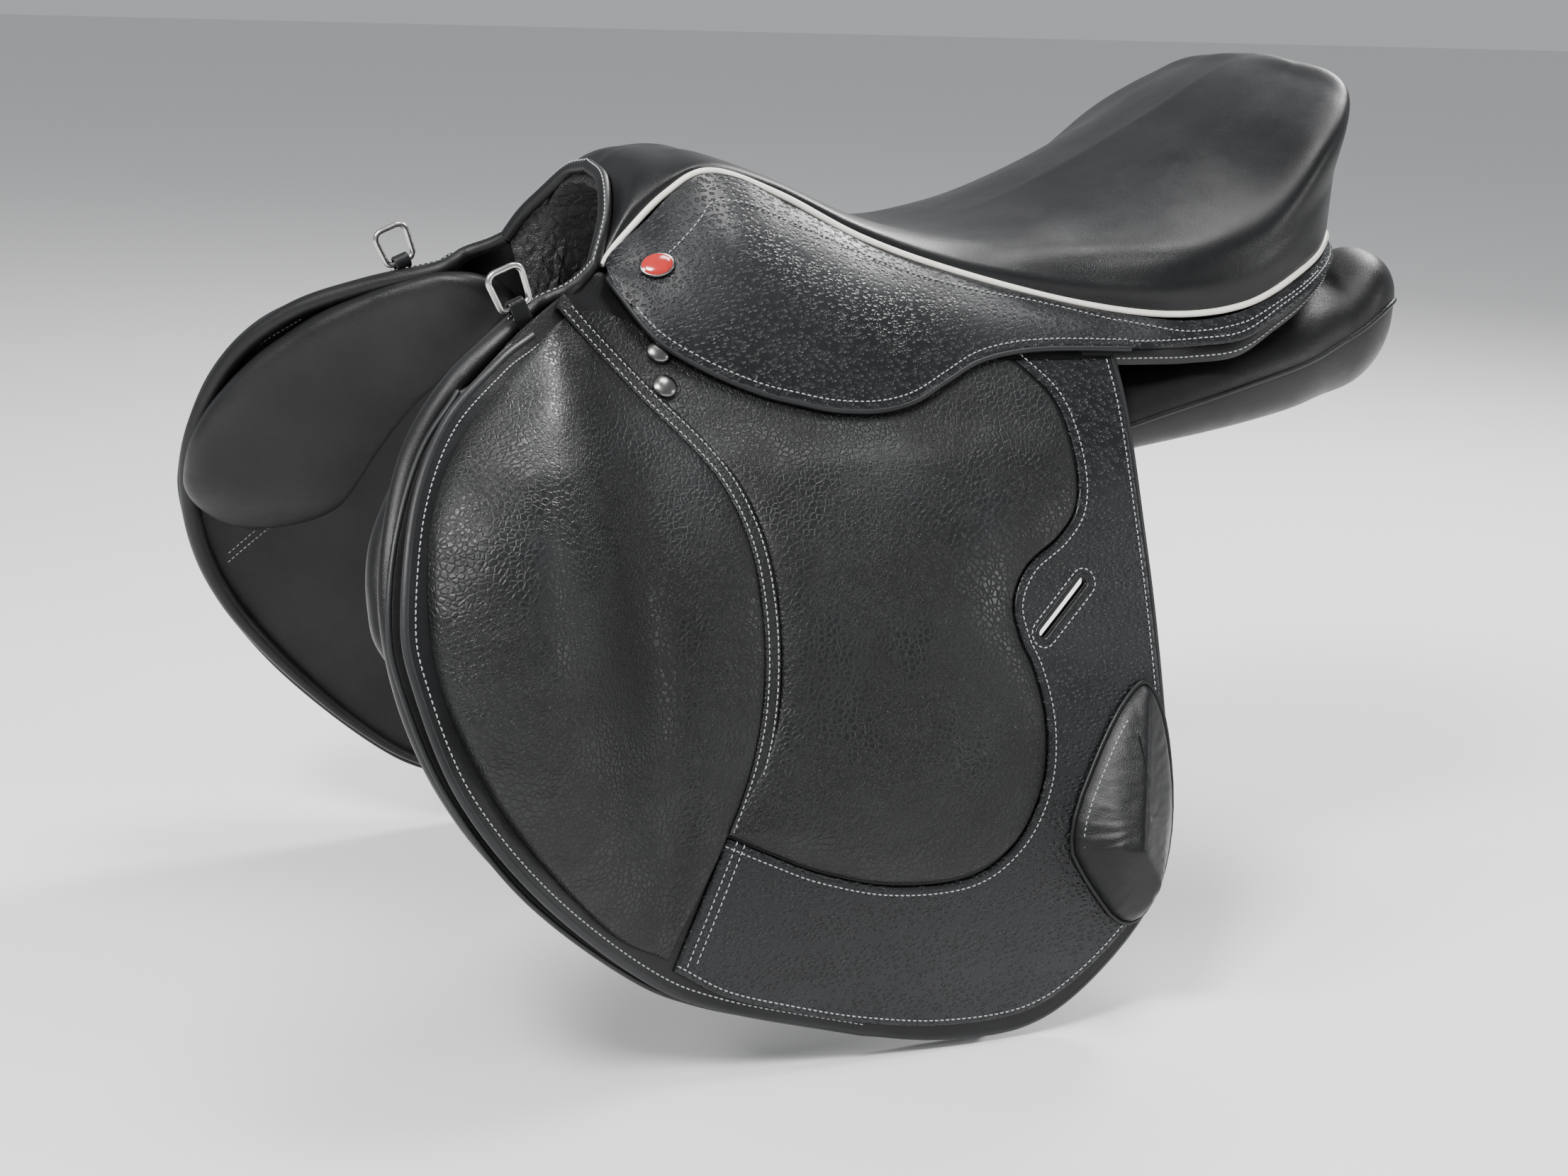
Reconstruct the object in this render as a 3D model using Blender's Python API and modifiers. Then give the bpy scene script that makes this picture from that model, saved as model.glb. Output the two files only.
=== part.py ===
"""English jumping saddle, 17 inch seat, built as an assembly of separate pieces.

Frame: +Z up, the pommel towards -X, the near (left) side towards -Y.  The origin is on the
centre line at the level of the panels' inner edges, under the deepest point of the seat.
The sizes below are in millimetres; finish() turns them to metres.
"""
import math

import bmesh
import bpy
from mathutils import Matrix, Vector

MM = 0.001
NEAR, OFF = -1, 1
SIDES = ((NEAR, "near"), (OFF, "off"))
FOAM_GAP = (1.0, 0.5)        # clearance from the seat's cover to its foam: dish, tight cantle

# Leather sheets
CELL = 32                    # lattice step shared by every sheet on the saddle's side
CUT_REACH = 320              # cutters pass this far either side of the centre plane
FLAP = (0.0, 4.0)            # inner and outer face, measured outwards from flap_line()
OVERLAY = (4.3, 5.8)
SWEAT_FLAP = (-12.0, -9.5)
BILLET = (-7.0, -3.5)
SKIRT_THICK = 3.0
COVER_THICK = 2.5

# Fold line shared by the flap and the skirt, on the skirt's outer face
FOLD_FRONT = (-188.0, 92.0, 50.0)
FOLD_REAR = (95.0, 138.0, 36.2)

# Stirrup bar
BAR_LOW, BAR_HIGH = 43.0, 51.0
PIN_X = -92.0

# Girth straps
BILLET_X = (-76.0, 2.0)
BILLET_WIDTH = 27.0
BILLET_TOP, BILLET_BOTTOM = 20.0, -290.0


# ---------------------------------------------------------------- scene and materials

def clear_scene():
    for item in list(bpy.data.objects):
        bpy.data.objects.remove(item, do_unlink=True)


def new_collection(name):
    group = bpy.data.collections.new(name)
    bpy.context.scene.collection.children.link(group)
    return group


def new_material(name, colour, roughness, metallic=0.0):
    mat = bpy.data.materials.new(name)
    mat.use_nodes = True
    shader = mat.node_tree.nodes["Principled BSDF"]
    shader.inputs["Base Color"].default_value = (*colour, 1.0)
    shader.inputs["Roughness"].default_value = roughness
    shader.inputs["Metallic"].default_value = metallic
    mat.diffuse_color = (*colour, 1.0)
    return mat


LOOKS = {
    "calf": ((0.016, 0.017, 0.019), 0.38, 0.0),
    "grained": ((0.014, 0.015, 0.017), 0.42, 0.0),
    "print": ((0.020, 0.022, 0.026), 0.36, 0.0),
    "lining": ((0.018, 0.018, 0.019), 0.55, 0.0),
    "piping": ((0.78, 0.76, 0.70), 0.50, 0.0),
    "badge": ((0.45, 0.02, 0.02), 0.20, 0.0),
    "nickel": ((0.56, 0.55, 0.53), 0.28, 1.0),
    "steel": ((0.42, 0.43, 0.45), 0.35, 1.0),
    "beech": ((0.42, 0.27, 0.15), 0.60, 0.0),
    "foam": ((0.75, 0.70, 0.55), 0.90, 0.0),
    "webbing": ((0.62, 0.58, 0.48), 0.85, 0.0),
}


def finish(name, bm, look, pivot=(0.0, 0.0, 0.0), smooth=True):
    """Turn a bmesh in millimetres into a named object whose origin is at pivot."""
    bmesh.ops.recalc_face_normals(bm, faces=bm.faces)
    if bm.calc_volume(signed=True) < 0:
        bmesh.ops.reverse_faces(bm, faces=bm.faces)
    bmesh.ops.transform(bm, matrix=Matrix.Translation(-Vector(pivot)), verts=bm.verts)
    bmesh.ops.scale(bm, vec=(MM, MM, MM), verts=bm.verts)
    mesh = bpy.data.meshes.new(name)
    bm.to_mesh(mesh)
    bm.free()
    if smooth:
        mesh.shade_smooth()
        mesh.set_sharp_from_angle(angle=math.radians(35))
    item = bpy.data.objects.new(name, mesh)
    item.location = Vector(pivot) * MM
    item.data.materials.append(new_material(name, *LOOKS[look]))
    parts.objects.link(item)
    return item


def as_cutter(item):
    parts.objects.unlink(item)
    cutters.objects.link(item)
    item.hide_render = True
    item.display_type = "WIRE"
    return item


def boolean(item, operation, cutter):
    mod = item.modifiers.new(operation.lower(), "BOOLEAN")
    mod.operation = operation
    mod.solver = "EXACT"
    mod.object = cutter


def bevel(item, width, segments=2):
    mod = item.modifiers.new("bevel", "BEVEL")
    mod.width = width * MM
    mod.segments = segments
    mod.limit_method = "ANGLE"


# ---------------------------------------------------------------- curves and lofts

def smooth_step(t):
    t = min(max(t, 0.0), 1.0)
    return t * t * (3.0 - 2.0 * t)


def hump(x, centre, width):
    return math.exp(-((x - centre) / width) ** 2)


def mix(a, b, t):
    return a + (b - a) * t


def spline(points, t):
    """Point at t (0 to 1) on the smooth curve through points."""
    pts = [Vector(p) for p in points]
    place = t * (len(pts) - 1)
    i = min(int(place), len(pts) - 2)
    f = place - i
    before = pts[i - 1] if i else 2 * pts[0] - pts[1]
    after = pts[i + 2] if i + 2 < len(pts) else 2 * pts[-1] - pts[-2]
    a, b = pts[i], pts[i + 1]
    return 0.5 * (2 * a + (b - before) * f + (2 * before - 5 * a + 4 * b - after) * f ** 2
                  + (3 * a - before - 3 * b + after) * f ** 3)


def smooth_line(points, count):
    return [spline(points, i / (count - 1)) for i in range(count)]


def mirror_y(points):
    return [Vector((p[0], -p[1], p[2])) for p in points]


def grid_faces(bm, rows, wrap=False):
    for a, b in zip(rows, rows[1:]):
        span = len(a) if wrap else len(a) - 1
        for j in range(span):
            k = (j + 1) % len(a)
            bm.faces.new((a[j], a[k], b[k], b[j]))


def grid_triangles(bm, rows):
    """Faces between rows of vertices, every cell split along the same diagonal."""
    for a, b in zip(rows, rows[1:]):
        for j in range(len(a) - 1):
            bm.faces.new((a[j], a[j + 1], b[j + 1]))
            bm.faces.new((a[j], b[j + 1], b[j]))


def loft(name, rings, look, pivot=(0.0, 0.0, 0.0), smooth=True):
    """Closed solid through rings of points, with both ends capped."""
    bm = bmesh.new()
    rows = [[bm.verts.new(p) for p in ring] for ring in rings]
    grid_faces(bm, rows, wrap=True)
    bm.faces.new(rows[0])
    bm.faces.new(rows[-1][::-1])
    return finish(name, bm, look, pivot, smooth)


def shell_between(name, outer, inner, look, pivot=(0.0, 0.0, 0.0)):
    """Closed solid between two grids of points with the same rows and columns."""
    bm = bmesh.new()
    top = [[bm.verts.new(p) for p in row] for row in outer]
    low = [[bm.verts.new(p) for p in row] for row in inner]
    grid_faces(bm, top)
    grid_faces(bm, [row[::-1] for row in low])
    for a, b in ((top[0], low[0]), (top[-1], low[-1])):
        grid_faces(bm, [a, b])
    for j in (0, -1):
        grid_faces(bm, [[row[j] for row in top], [row[j] for row in low]])
    bmesh.ops.triangulate(bm, faces=bm.faces)
    return finish(name, bm, look, pivot)


def tube(name, path, radius, look, pivot=(0.0, 0.0, 0.0), closed=False, resolution=1):
    """Round tube along a path of points."""
    data = bpy.data.curves.new(name, "CURVE")
    data.dimensions = "3D"
    data.bevel_depth = radius * MM
    data.bevel_resolution = resolution
    data.use_fill_caps = not closed
    line = data.splines.new("POLY")
    line.points.add(len(path) - 1)
    for knot, p in zip(line.points, path):
        knot.co = (*((Vector(p) - Vector(pivot)) * MM), 1.0)
    line.use_cyclic_u = closed
    item = bpy.data.objects.new(name, data)
    item.location = Vector(pivot) * MM
    item.data.materials.append(new_material(name, *LOOKS[look]))
    parts.objects.link(item)
    return item


def rod(name, start, end, radius, look, segments=16, pivot=None):
    """Plain cylinder between two points."""
    start, end = Vector(start), Vector(end)
    bm = bmesh.new()
    bmesh.ops.create_cone(bm, cap_ends=True, segments=segments, radius1=radius,
                          radius2=radius, depth=(end - start).length)
    turn = (end - start).to_track_quat("Z", "Y").to_matrix().to_4x4()
    move = Matrix.Translation((start + end) / 2) @ turn
    bmesh.ops.transform(bm, matrix=move, verts=bm.verts)
    return finish(name, bm, look, pivot or (start + end) / 2)


def prism(name, outline, low, high, look="calf"):
    """Outline in x and z, extruded along Y from low to high."""
    bm = bmesh.new()
    face = bm.faces.new([bm.verts.new((x, low, z)) for x, z in outline])
    grown = bmesh.ops.extrude_face_region(bm, geom=[face])
    moved = [v for v in grown["geom"] if isinstance(v, bmesh.types.BMVert)]
    bmesh.ops.translate(bm, vec=(0.0, high - low, 0.0), verts=moved)
    return finish(name, bm, look, smooth=False)


def rounded(points, count):
    """Smooth open outline through a few x, z points."""
    line = smooth_line([(x, 0.0, z) for x, z in points], count)
    return [(p.x, p.z) for p in line]


# ---------------------------------------------------------------- the saddle's side

def flap_line(x, z):
    """Distance of the flap's inner face from the centre plane at x, z."""
    top = smooth_step((z + 80) / 130)
    spread = 245 - 190 * math.exp((z - 120) / 200)
    waist = (-7 - 26 * hump(x, -190, 70) - 14 * hump(x, -70, 80)
             + 20 * smooth_step((x + 30) / 190))
    flare = 40 * smooth_step((-x - 190) / 150) * (0.35 + 0.65 * smooth_step((z + 330) / 150))
    return spread + top * waist + flare


def fold_height(x):
    """Height of the fold line at x."""
    t = (x - FOLD_FRONT[0]) / (FOLD_REAR[0] - FOLD_FRONT[0])
    return mix(FOLD_FRONT[2], FOLD_REAR[2], t)


def slab(side, outline, inner, outer):
    """Curved plate over the outline's box, between two offsets from flap_line()."""
    low_x = math.floor(min(p[0] for p in outline) / CELL - 0.2)
    high_x = math.ceil(max(p[0] for p in outline) / CELL + 0.2)
    low_z = math.floor(min(p[1] for p in outline) / CELL - 0.2)
    high_z = math.ceil(max(p[1] for p in outline) / CELL + 0.2)
    bm = bmesh.new()
    layers = []
    for offset in (inner, outer):
        rows = []
        for i in range(low_x, high_x + 1):
            row = []
            for k in range(low_z, high_z + 1):
                x, z = i * CELL, k * CELL
                grow = offset(x, z) if callable(offset) else offset
                row.append(bm.verts.new((x, side * (flap_line(x, z) + grow), z)))
            rows.append(row)
        layers.append(rows)
    for rows in layers:
        grid_triangles(bm, rows)
    one, two = layers
    for a, b in ((one[0], two[0]), (one[-1], two[-1])):
        grid_faces(bm, [a, b])
    for j in (0, -1):
        grid_faces(bm, [[row[j] for row in one], [row[j] for row in two]])
    return bm


def sheet(name, side, outline, offsets, look, pivot=(0.0, 0.0, 0.0), holes=()):
    """Leather sheet that follows the saddle's side, cut to an outline, with holes."""
    item = finish(name, slab(side, outline, *offsets), look, pivot, smooth=False)
    boolean(item, "INTERSECT", as_cutter(prism(name + "_cut", outline, -CUT_REACH, CUT_REACH)))
    for number, hole in enumerate(holes):
        cut = prism(f"{name}_hole_{number}", hole, -CUT_REACH, CUT_REACH)
        boolean(item, "DIFFERENCE", as_cutter(cut))
    return item


def edge_distance(x, z, outline):
    best = 1e9
    for (ax, az), (bx, bz) in zip(outline, outline[1:] + outline[:1]):
        a, b, p = Vector((ax, az)), Vector((bx, bz)), Vector((x, z))
        t = min(max((p - a).dot(b - a) / max((b - a).length_squared, 1e-9), 0), 1)
        best = min(best, (p - a - (b - a) * t).length)
    return best


def domed(outline, edge, crown, reach):
    """Offset that rises from edge at the outline by crown, within reach of it."""
    def height(x, z):
        d = min(edge_distance(x, z, outline) / reach, 1.0) if inside(x, z, outline) else 0.0
        return edge + crown * math.sqrt(1 - (1 - d) ** 2)
    return height


def inside(x, z, outline):
    hit = False
    for (ax, az), (bx, bz) in zip(outline, outline[1:] + outline[:1]):
        if (az > z) != (bz > z) and x < (bx - ax) * (z - az) / (bz - az) + ax:
            hit = not hit
    return hit


# ---------------------------------------------------------------- outlines, x and z

FRONT_EDGE = [(-241, 47.5), (-272, 34), (-310, 8), (-334, -27), (-346, -74), (-344, -107),
              (-325, -161), (-284, -215), (-225, -268), (-180, -292), (-100, -316)]
BOTTOM_EDGE = [(-100, -316), (-52, -325), (-2, -325), (36, -308), (75, -272), (90, -235)]
REAR_EDGE = [(90, -235), (92, -207), (90, -133), (88, -60), (87, -5), (85, 20)]
BAND_EDGE = [(26, 20), (44, 0), (50, -29), (47, -53), (34, -68), (12, -82), (1, -100),
             (3, -119), (10, -136), (15, -160), (14, -185), (7, -206), (-6, -224),
             (-26, -237), (-51, -241), (-87, -238), (-122, -228), (-145, -218), (-174, -204)]
KNEE_FRONT = [(-228, 42), (-275, 18), (-311, -9), (-331, -50), (-331, -109), (-300, -175),
              (-244, -240), (-209, -262)]
KNEE_SEAM = [(-209, -262), (-174, -204), (-152, -150), (-146, -90), (-156, -36), (-189, 6),
             (-221, 44)]
BLOCK_BASE = [(73, -146), (52, -169), (23, -224), (35, -248), (59, -279), (80, -262),
              (91, -222), (89, -170), (81, -149)]
BLOCK_RIDGE = [(77, 14, -158), (81, 27, -186), (63, 34, -228), (71, 27, -242), (84, 14, -246)]
SLOT_ENDS = ((44.0, -92.9), (17.0, -117.2))
SLOT_WIDTH = 5.5
BAR_WINDOW = [(-161, 38), (-155, 30), (-78, 30), (-70, 38)]


def flap_outline():
    top = [(84, 28), (55, 29), (30, 36)]
    top += [(x, fold_height(x) - 1) for x in (-20, -70)]
    top += BAR_WINDOW[::-1]
    top += [(x, fold_height(x) - 1) for x in (-161, -200)]
    front = rounded(FRONT_EDGE, 18)
    bottom = rounded(BOTTOM_EDGE, 10)
    return front + bottom[1:] + REAR_EDGE[1:] + top


def slot_outline():
    a, b = (Vector(p) for p in SLOT_ENDS)
    along = (b - a).normalized()
    across = Vector((-along.y, along.x))
    ring = []
    for centre, lead in ((b, 1), (a, -1)):
        for step in range(5):
            turn = math.radians(90 - 45 * step)
            ring.append(centre + lead * SLOT_WIDTH / 2
                        * (along * math.cos(turn) + across * math.sin(turn)))
    return [(p.x, p.y) for p in ring]


def overlay_outline():
    band = rounded(BAND_EDGE, 22)
    bottom = rounded(BOTTOM_EDGE, 10)
    inset = [(-173, -213), (-206, -268), (-180, -284), (-100, -308)]
    lower = [(x * 0.985 - 1, z + 8) for x, z in bottom[1:]]
    rear = [(x - 3, z) for x, z in REAR_EDGE[1:-1]]
    return inset + lower + rear + [(82, 20)] + band[:-1]


def grip_outline():
    band = rounded(BAND_EDGE, 18)
    inner = [(x - 2.5, z + (2.5 if z < -225 or x < -30 else 0)) for x, z in band[:-1]]
    seam = [(x + 5, z) for x, z in KNEE_SEAM[1:]]
    return inner + seam + [(-150, 28), (-60, 26)]


# ---------------------------------------------------------------- tree and hardware

def block(name, centre, size, look):
    bm = bmesh.new()
    bmesh.ops.create_cube(bm, size=1.0)
    bmesh.ops.scale(bm, vec=size, verts=bm.verts)
    bmesh.ops.translate(bm, vec=centre, verts=bm.verts)
    return finish(name, bm, look, smooth=False)


def arch_rings(path, front, rear, thick):
    """Rings of an upright arch: path in y, z on the centre line of its section."""
    half = smooth_line([(0.0, y, z) for y, z in path], 9)
    line = mirror_y(half[::-1])[:-1] + half
    rings = []
    for i, p in enumerate(line):
        ahead = line[min(i + 1, len(line) - 1)] - line[max(i - 1, 0)]
        out = Vector((0.0, -ahead.z, ahead.y)).normalized() * thick / 2
        lean = (p.z - 60) * 0.12
        corners = ((front, out), (rear, out), (rear, -out), (front, -out))
        rings.append([Vector((x + lean, p.y, p.z)) + shift for x, shift in corners])
    return rings


HEAD_PATH = [(0, 108), (25, 105), (43, 96), (56, 80), (62, 62), (63, 45), (68, 28),
             (79, 9), (90, -8)]


def tree():
    head = loft("tree_head", arch_rings(HEAD_PATH, -170, -138, 8), "beech", smooth=False)
    bevel(head, 1.5, 1)
    lining = [(0, 101), (22, 98), (37, 90), (49, 76), (55, 60), (56, 46), (57, 38)]
    loft("gullet_lining", arch_rings(lining, -172, -139, 1.6), "lining", smooth=False)
    for side, word in SIDES:
        rail(side, word)
    cantle()


def rail(side, word):
    path = [(-137.5, 59, 46), (-60, 56, 44), (20, 64, 40), (80, 82, 41), (110, 92, 46)]
    rings = []
    for p in smooth_line(path, 9):
        rings.append([Vector((p.x, side * (p.y + a), p.z + b))
                      for a, b in ((-7, -6), (7, -6), (7, 6), (-7, 6))])
    bevel(loft(f"{word}_tree_rail", rings, "beech", smooth=False), 1.5, 1)


def cantle():
    path = [(117, 95, 40), (165, 104, 46), (205, 88, 60), (228, 50, 74), (236, 0, 82)]
    height = [16, 28, 42, 52, 57]
    line = smooth_line(path, 9)
    line = line + mirror_y(line[::-1])[1:]
    rings = []
    for i, p in enumerate(line):
        ahead = line[min(i + 1, len(line) - 1)] - line[max(i - 1, 0)]
        out = Vector((ahead.y, -ahead.x, 0.0)).normalized() * 4
        share = min(i, len(line) - 1 - i) / 8 * (len(height) - 1)
        k = min(int(share), len(height) - 2)
        tall = mix(height[k], height[k + 1], share - k)
        top = p + Vector((0.0, 0.0, tall))
        rings.append([p - out, p + out, top + out, top - out])
    bevel(loft("tree_cantle", rings, "beech", smooth=False), 1.5, 1)


def stirrup_bar(side, word):
    """Bar plate on the tree, with a rod that is open at the rear, and its safety catch."""
    plan = [(-158, 71.8), (-158, 84), (-154, 90), (-146, 91.6), (-86, 97.6), (-86, 90.6),
            (-143, 84.6), (-146, 82), (-146, 71.8)]
    bm = bmesh.new()
    face = bm.faces.new([bm.verts.new((x, side * y, BAR_LOW)) for x, y in plan])
    grown = bmesh.ops.extrude_face_region(bm, geom=[face])
    moved = [v for v in grown["geom"] if isinstance(v, bmesh.types.BMVert)]
    bmesh.ops.translate(bm, vec=(0.0, 0.0, BAR_HIGH - BAR_LOW), verts=moved)
    bar = finish(f"{word}_stirrup_bar", bm, "steel", smooth=False)
    plate = block(f"{word}_bar_plate_form", (-124, side * 71.8, 47), (68, 2.4, 24), "steel")
    boolean(bar, "UNION", as_cutter(plate))
    z = (BAR_LOW + BAR_HIGH) / 2
    hole = rod(f"{word}_pin_hole", (PIN_X, side * 80, z), (PIN_X, side * 105, z), 1.8, "steel", 12)
    boolean(bar, "DIFFERENCE", as_cutter(hole))
    for number, x in enumerate((-134, -100)):
        drill = rod(f"{word}_rivet_hole_{number}", (x, side * 66, z), (x, side * 76, z), 2.3,
                    "steel", 12)
        boolean(bar, "DIFFERENCE", as_cutter(drill))
        rivet(f"{word}_bar_rivet_{number + 1}", (x, side * 69.9, z), side)
    catch(side, word, z)


def rivet(name, at, side):
    """Flat-headed rivet whose shank passes through the bar's plate."""
    x, y, z = at
    profile = [(0.0, 0.0), (2.0, 0.0), (2.0, 3.1), (4.4, 3.1), (4.4, 4.0), (3.2, 5.0), (0.0, 5.2)]
    turned(name, profile, (x, y, z), Vector((0.0, side, 0.0)), "steel", 12)


def turned(name, profile, at, axis, look, segments, stretch=1.0, pivot=None):
    """Turned solid: profile of radius and height, closed on its axis."""
    rings = []
    bm = bmesh.new()
    for radius, height in profile:
        if radius == 0.0:
            rings.append([bm.verts.new((0.0, 0.0, height))])
            continue
        ring = []
        for k in range(segments):
            turn = 2 * math.pi * k / segments
            ring.append(bm.verts.new((stretch * radius * math.cos(turn),
                                      radius * math.sin(turn), height)))
        rings.append(ring)
    for a, b in zip(rings, rings[1:]):
        for k in range(segments):
            m = (k + 1) % segments
            corners = [a[k % len(a)], a[m % len(a)], b[m % len(b)], b[k % len(b)]]
            bm.faces.new(list(dict.fromkeys(corners)))
    z_axis = axis.normalized()
    x_axis = (Vector((1.0, 0.0, 0.0)) - z_axis * z_axis.x).normalized()
    y_axis = z_axis.cross(x_axis)
    turn = Matrix((x_axis, y_axis, z_axis)).transposed().to_4x4()
    bmesh.ops.transform(bm, matrix=Matrix.Translation(Vector(at)) @ turn, verts=bm.verts)
    return finish(name, bm, look, pivot or at)


def catch(side, word, z):
    """Safety catch that lies in line with the bar and turns up on its pin."""
    pivot = (PIN_X, side * 88.6, z)
    outline = [(-98, 44), (-75, 44), (-70, 47), (-70, 49), (-75, 50), (-98, 50)]
    item = prism(f"{word}_bar_catch", [(x, zz) for x, zz in outline], 86.2, 88.8, "steel")
    mesh = item.data
    for v in mesh.vertices:
        v.co.y *= side
    if side < 0:
        mesh.flip_normals()
    mesh.transform(Matrix.Translation(-Vector(pivot) * MM))
    item.location = Vector(pivot) * MM
    hole = rod(f"{word}_catch_hole", (PIN_X, side * 80, z), (PIN_X, side * 105, z), 1.8,
               "steel", 12)
    boolean(item, "DIFFERENCE", as_cutter(hole))
    rod(f"{word}_catch_pin", (PIN_X, side * 85.6, z), (PIN_X, side * 97.4, z), 1.5, "steel", 12)


# ---------------------------------------------------------------- seat

# Each row runs from the welt up over the seat's edge to the spine.
SEAT_ROWS = [
    [(-191, 67, 67), (-186, 67, 90), (-178, 54, 107), (-173, 28, 114), (-172, 0, 115)],
    [(-176, 62, 82), (-168, 62, 102), (-162, 47, 115), (-158, 25, 120), (-157, 0, 121)],
    [(-152, 58, 103), (-146, 56, 113), (-142, 42, 119), (-139, 22, 122), (-138, 0, 123)],
    [(-126, 57, 115), (-122, 51, 119), (-120, 36, 121), (-118, 18, 122), (-117, 0, 121)],
    [(-87, 62, 103), (-85, 57, 108), (-83, 42, 110), (-80, 20, 109), (-80, 0, 107)],
    [(-40, 71, 80), (-36, 66, 86), (-32, 48, 89), (-30, 25, 88), (-29, 0, 86)],
    [(10, 88, 63), (14, 86, 70), (17, 68, 78), (19, 34, 80), (20, 0, 80)],
    [(72, 112, 48), (74, 113, 61), (76, 98, 79), (77, 50, 89), (78, 0, 92)],
    [(123, 133, 43), (126, 139, 60), (130, 129, 84), (132, 66, 107), (134, 0, 117)],
    [(168, 141, 49), (172, 143, 73), (178, 131, 102), (182, 66, 132), (185, 0, 144)],
    [(210, 133, 67), (215, 133, 96), (218, 119, 130), (220, 60, 154), (222, 0, 165)],
    [(240, 110, 79), (246, 109, 115), (245, 103, 151), (243, 52, 168), (243, 0, 175)],
    [(256, 80, 85), (262, 80, 125), (258, 74, 166), (255, 38, 177), (254, 0, 179)],
    [(266, 0, 92), (270, 0, 130), (268, 0, 168), (265, 0, 179), (262, 0, 181)],
]
WELT_INSET = 4.0
SEAT_STEPS = 22


def seat_grid(across, along):
    """Outer face of the near half of the seat: rows from the pommel to the cantle."""
    columns = [[Vector(row[k]) for row in SEAT_ROWS] for k in range(5)]
    grid = []
    for i in range(across):
        knots = [spline(column, i / (across - 1)) for column in columns]
        lift = (knots[1] - knots[0]).normalized() * WELT_INSET
        knots[0] = knots[0] + lift
        row = [spline(knots, j / (along - 1)) for j in range(along)]
        row[-1].y = 0.0
        grid.append(row)
    return grid


def sunk(grid, depth):
    """Grid moved inwards along its normals; depth is a function of row and column."""
    result = []
    for i, row in enumerate(grid):
        moved = []
        for j, p in enumerate(row):
            ahead = grid[min(i + 1, len(grid) - 1)][j] - grid[max(i - 1, 0)][j]
            aside = row[min(j + 1, len(row) - 1)] - row[max(j - 1, 0)]
            if i == len(grid) - 1:
                ahead = Vector((0.0, -1.0, 0.0))
            normal = ahead.cross(aside).normalized()
            q = p + normal * depth(i, j)
            if p.y < 0.01:
                q.y = 0.0
            q.y = max(q.y, 0.0)
            moved.append(q)
        result.append(moved)
    return result


def seat_solid(name, outer, inner, look):
    """Mirror a half shell about the centre plane and close it."""
    bm = bmesh.new()
    top = [[bm.verts.new(p) for p in row] for row in outer]
    low = [[bm.verts.new(p) for p in row] for row in inner]
    grid_triangles(bm, top)
    grid_triangles(bm, low)
    grid_faces(bm, [top[0], low[0]])
    grid_faces(bm, [[row[0] for row in top], [row[0] for row in low]])
    item = finish(name, bm, look)
    mod = item.modifiers.new("mirror", "MIRROR")
    mod.use_axis = (False, True, False)
    mod.merge_threshold = 0.00005
    return item


def narrowed(grid, share):
    """Grid drawn in towards the centre plane by a share of its width, near the cantle."""
    result = []
    for i, row in enumerate(grid):
        keep = 1.0 - share * smooth_step((i - 15) / 2)
        result.append([Vector((p.x, p.y * keep, p.z)) for p in row])
    return result


def seat():
    rows, cols = SEAT_STEPS, 7
    face = seat_grid(rows, cols)

    def foam_start(i, _):
        return COVER_THICK + mix(*FOAM_GAP, smooth_step((i - 15) / 2))

    def foam_depth(i, j):
        deep = mix(4.0, 14.0, smooth_step((i - 3) / 4))
        return foam_start(i, j) + mix(4.0, deep, smooth_step(j / 3))

    under = sunk(face, lambda i, j: COVER_THICK)
    seat_solid("seat_cover", face, under, "calf")
    foam_top = narrowed(sunk(face, foam_start), 0.025)
    foam_low = narrowed(sunk(face, foam_depth), 0.025)
    trim = slice(1, None)
    seat_solid("seat_foam", [row[trim] for row in foam_top[1:]],
               [row[trim] for row in foam_low[1:]], "foam")
    web_path = [(-130, 0, 98), (-90, 0, 84), (-40, 0, 66), (20, 0, 58), (90, 0, 66),
                (160, 0, 96), (226, 0, 136)]
    strap("seat_web", web_path, Vector((0.0, 28.0, 0.0)), 1.8)
    welt_path = smooth_line([row[0] for row in SEAT_ROWS], SEAT_STEPS)
    tube("seat_welt", welt_path + mirror_y(welt_path[::-1])[1:], 1.5, "piping")
    rim = smooth_line(SEAT_ROWS[0], 9)
    rim = [p + Vector((-5.6, 0.0, -0.5)) for p in rim]
    tube("arch_binding", rim + mirror_y(rim[::-1])[1:], 3.4, "calf", resolution=2)


def strap(name, path, half_width, thick, look="webbing", count=11):
    rings = []
    line = smooth_line(path, count)
    for i, p in enumerate(line):
        ahead = line[min(i + 1, len(line) - 1)] - line[max(i - 1, 0)]
        up = half_width.cross(ahead).normalized() * thick / 2
        rings.append([p - half_width - up, p + half_width - up,
                      p + half_width + up, p - half_width + up])
    return loft(name, rings, look, smooth=False)


# ---------------------------------------------------------------- skirts

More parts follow.
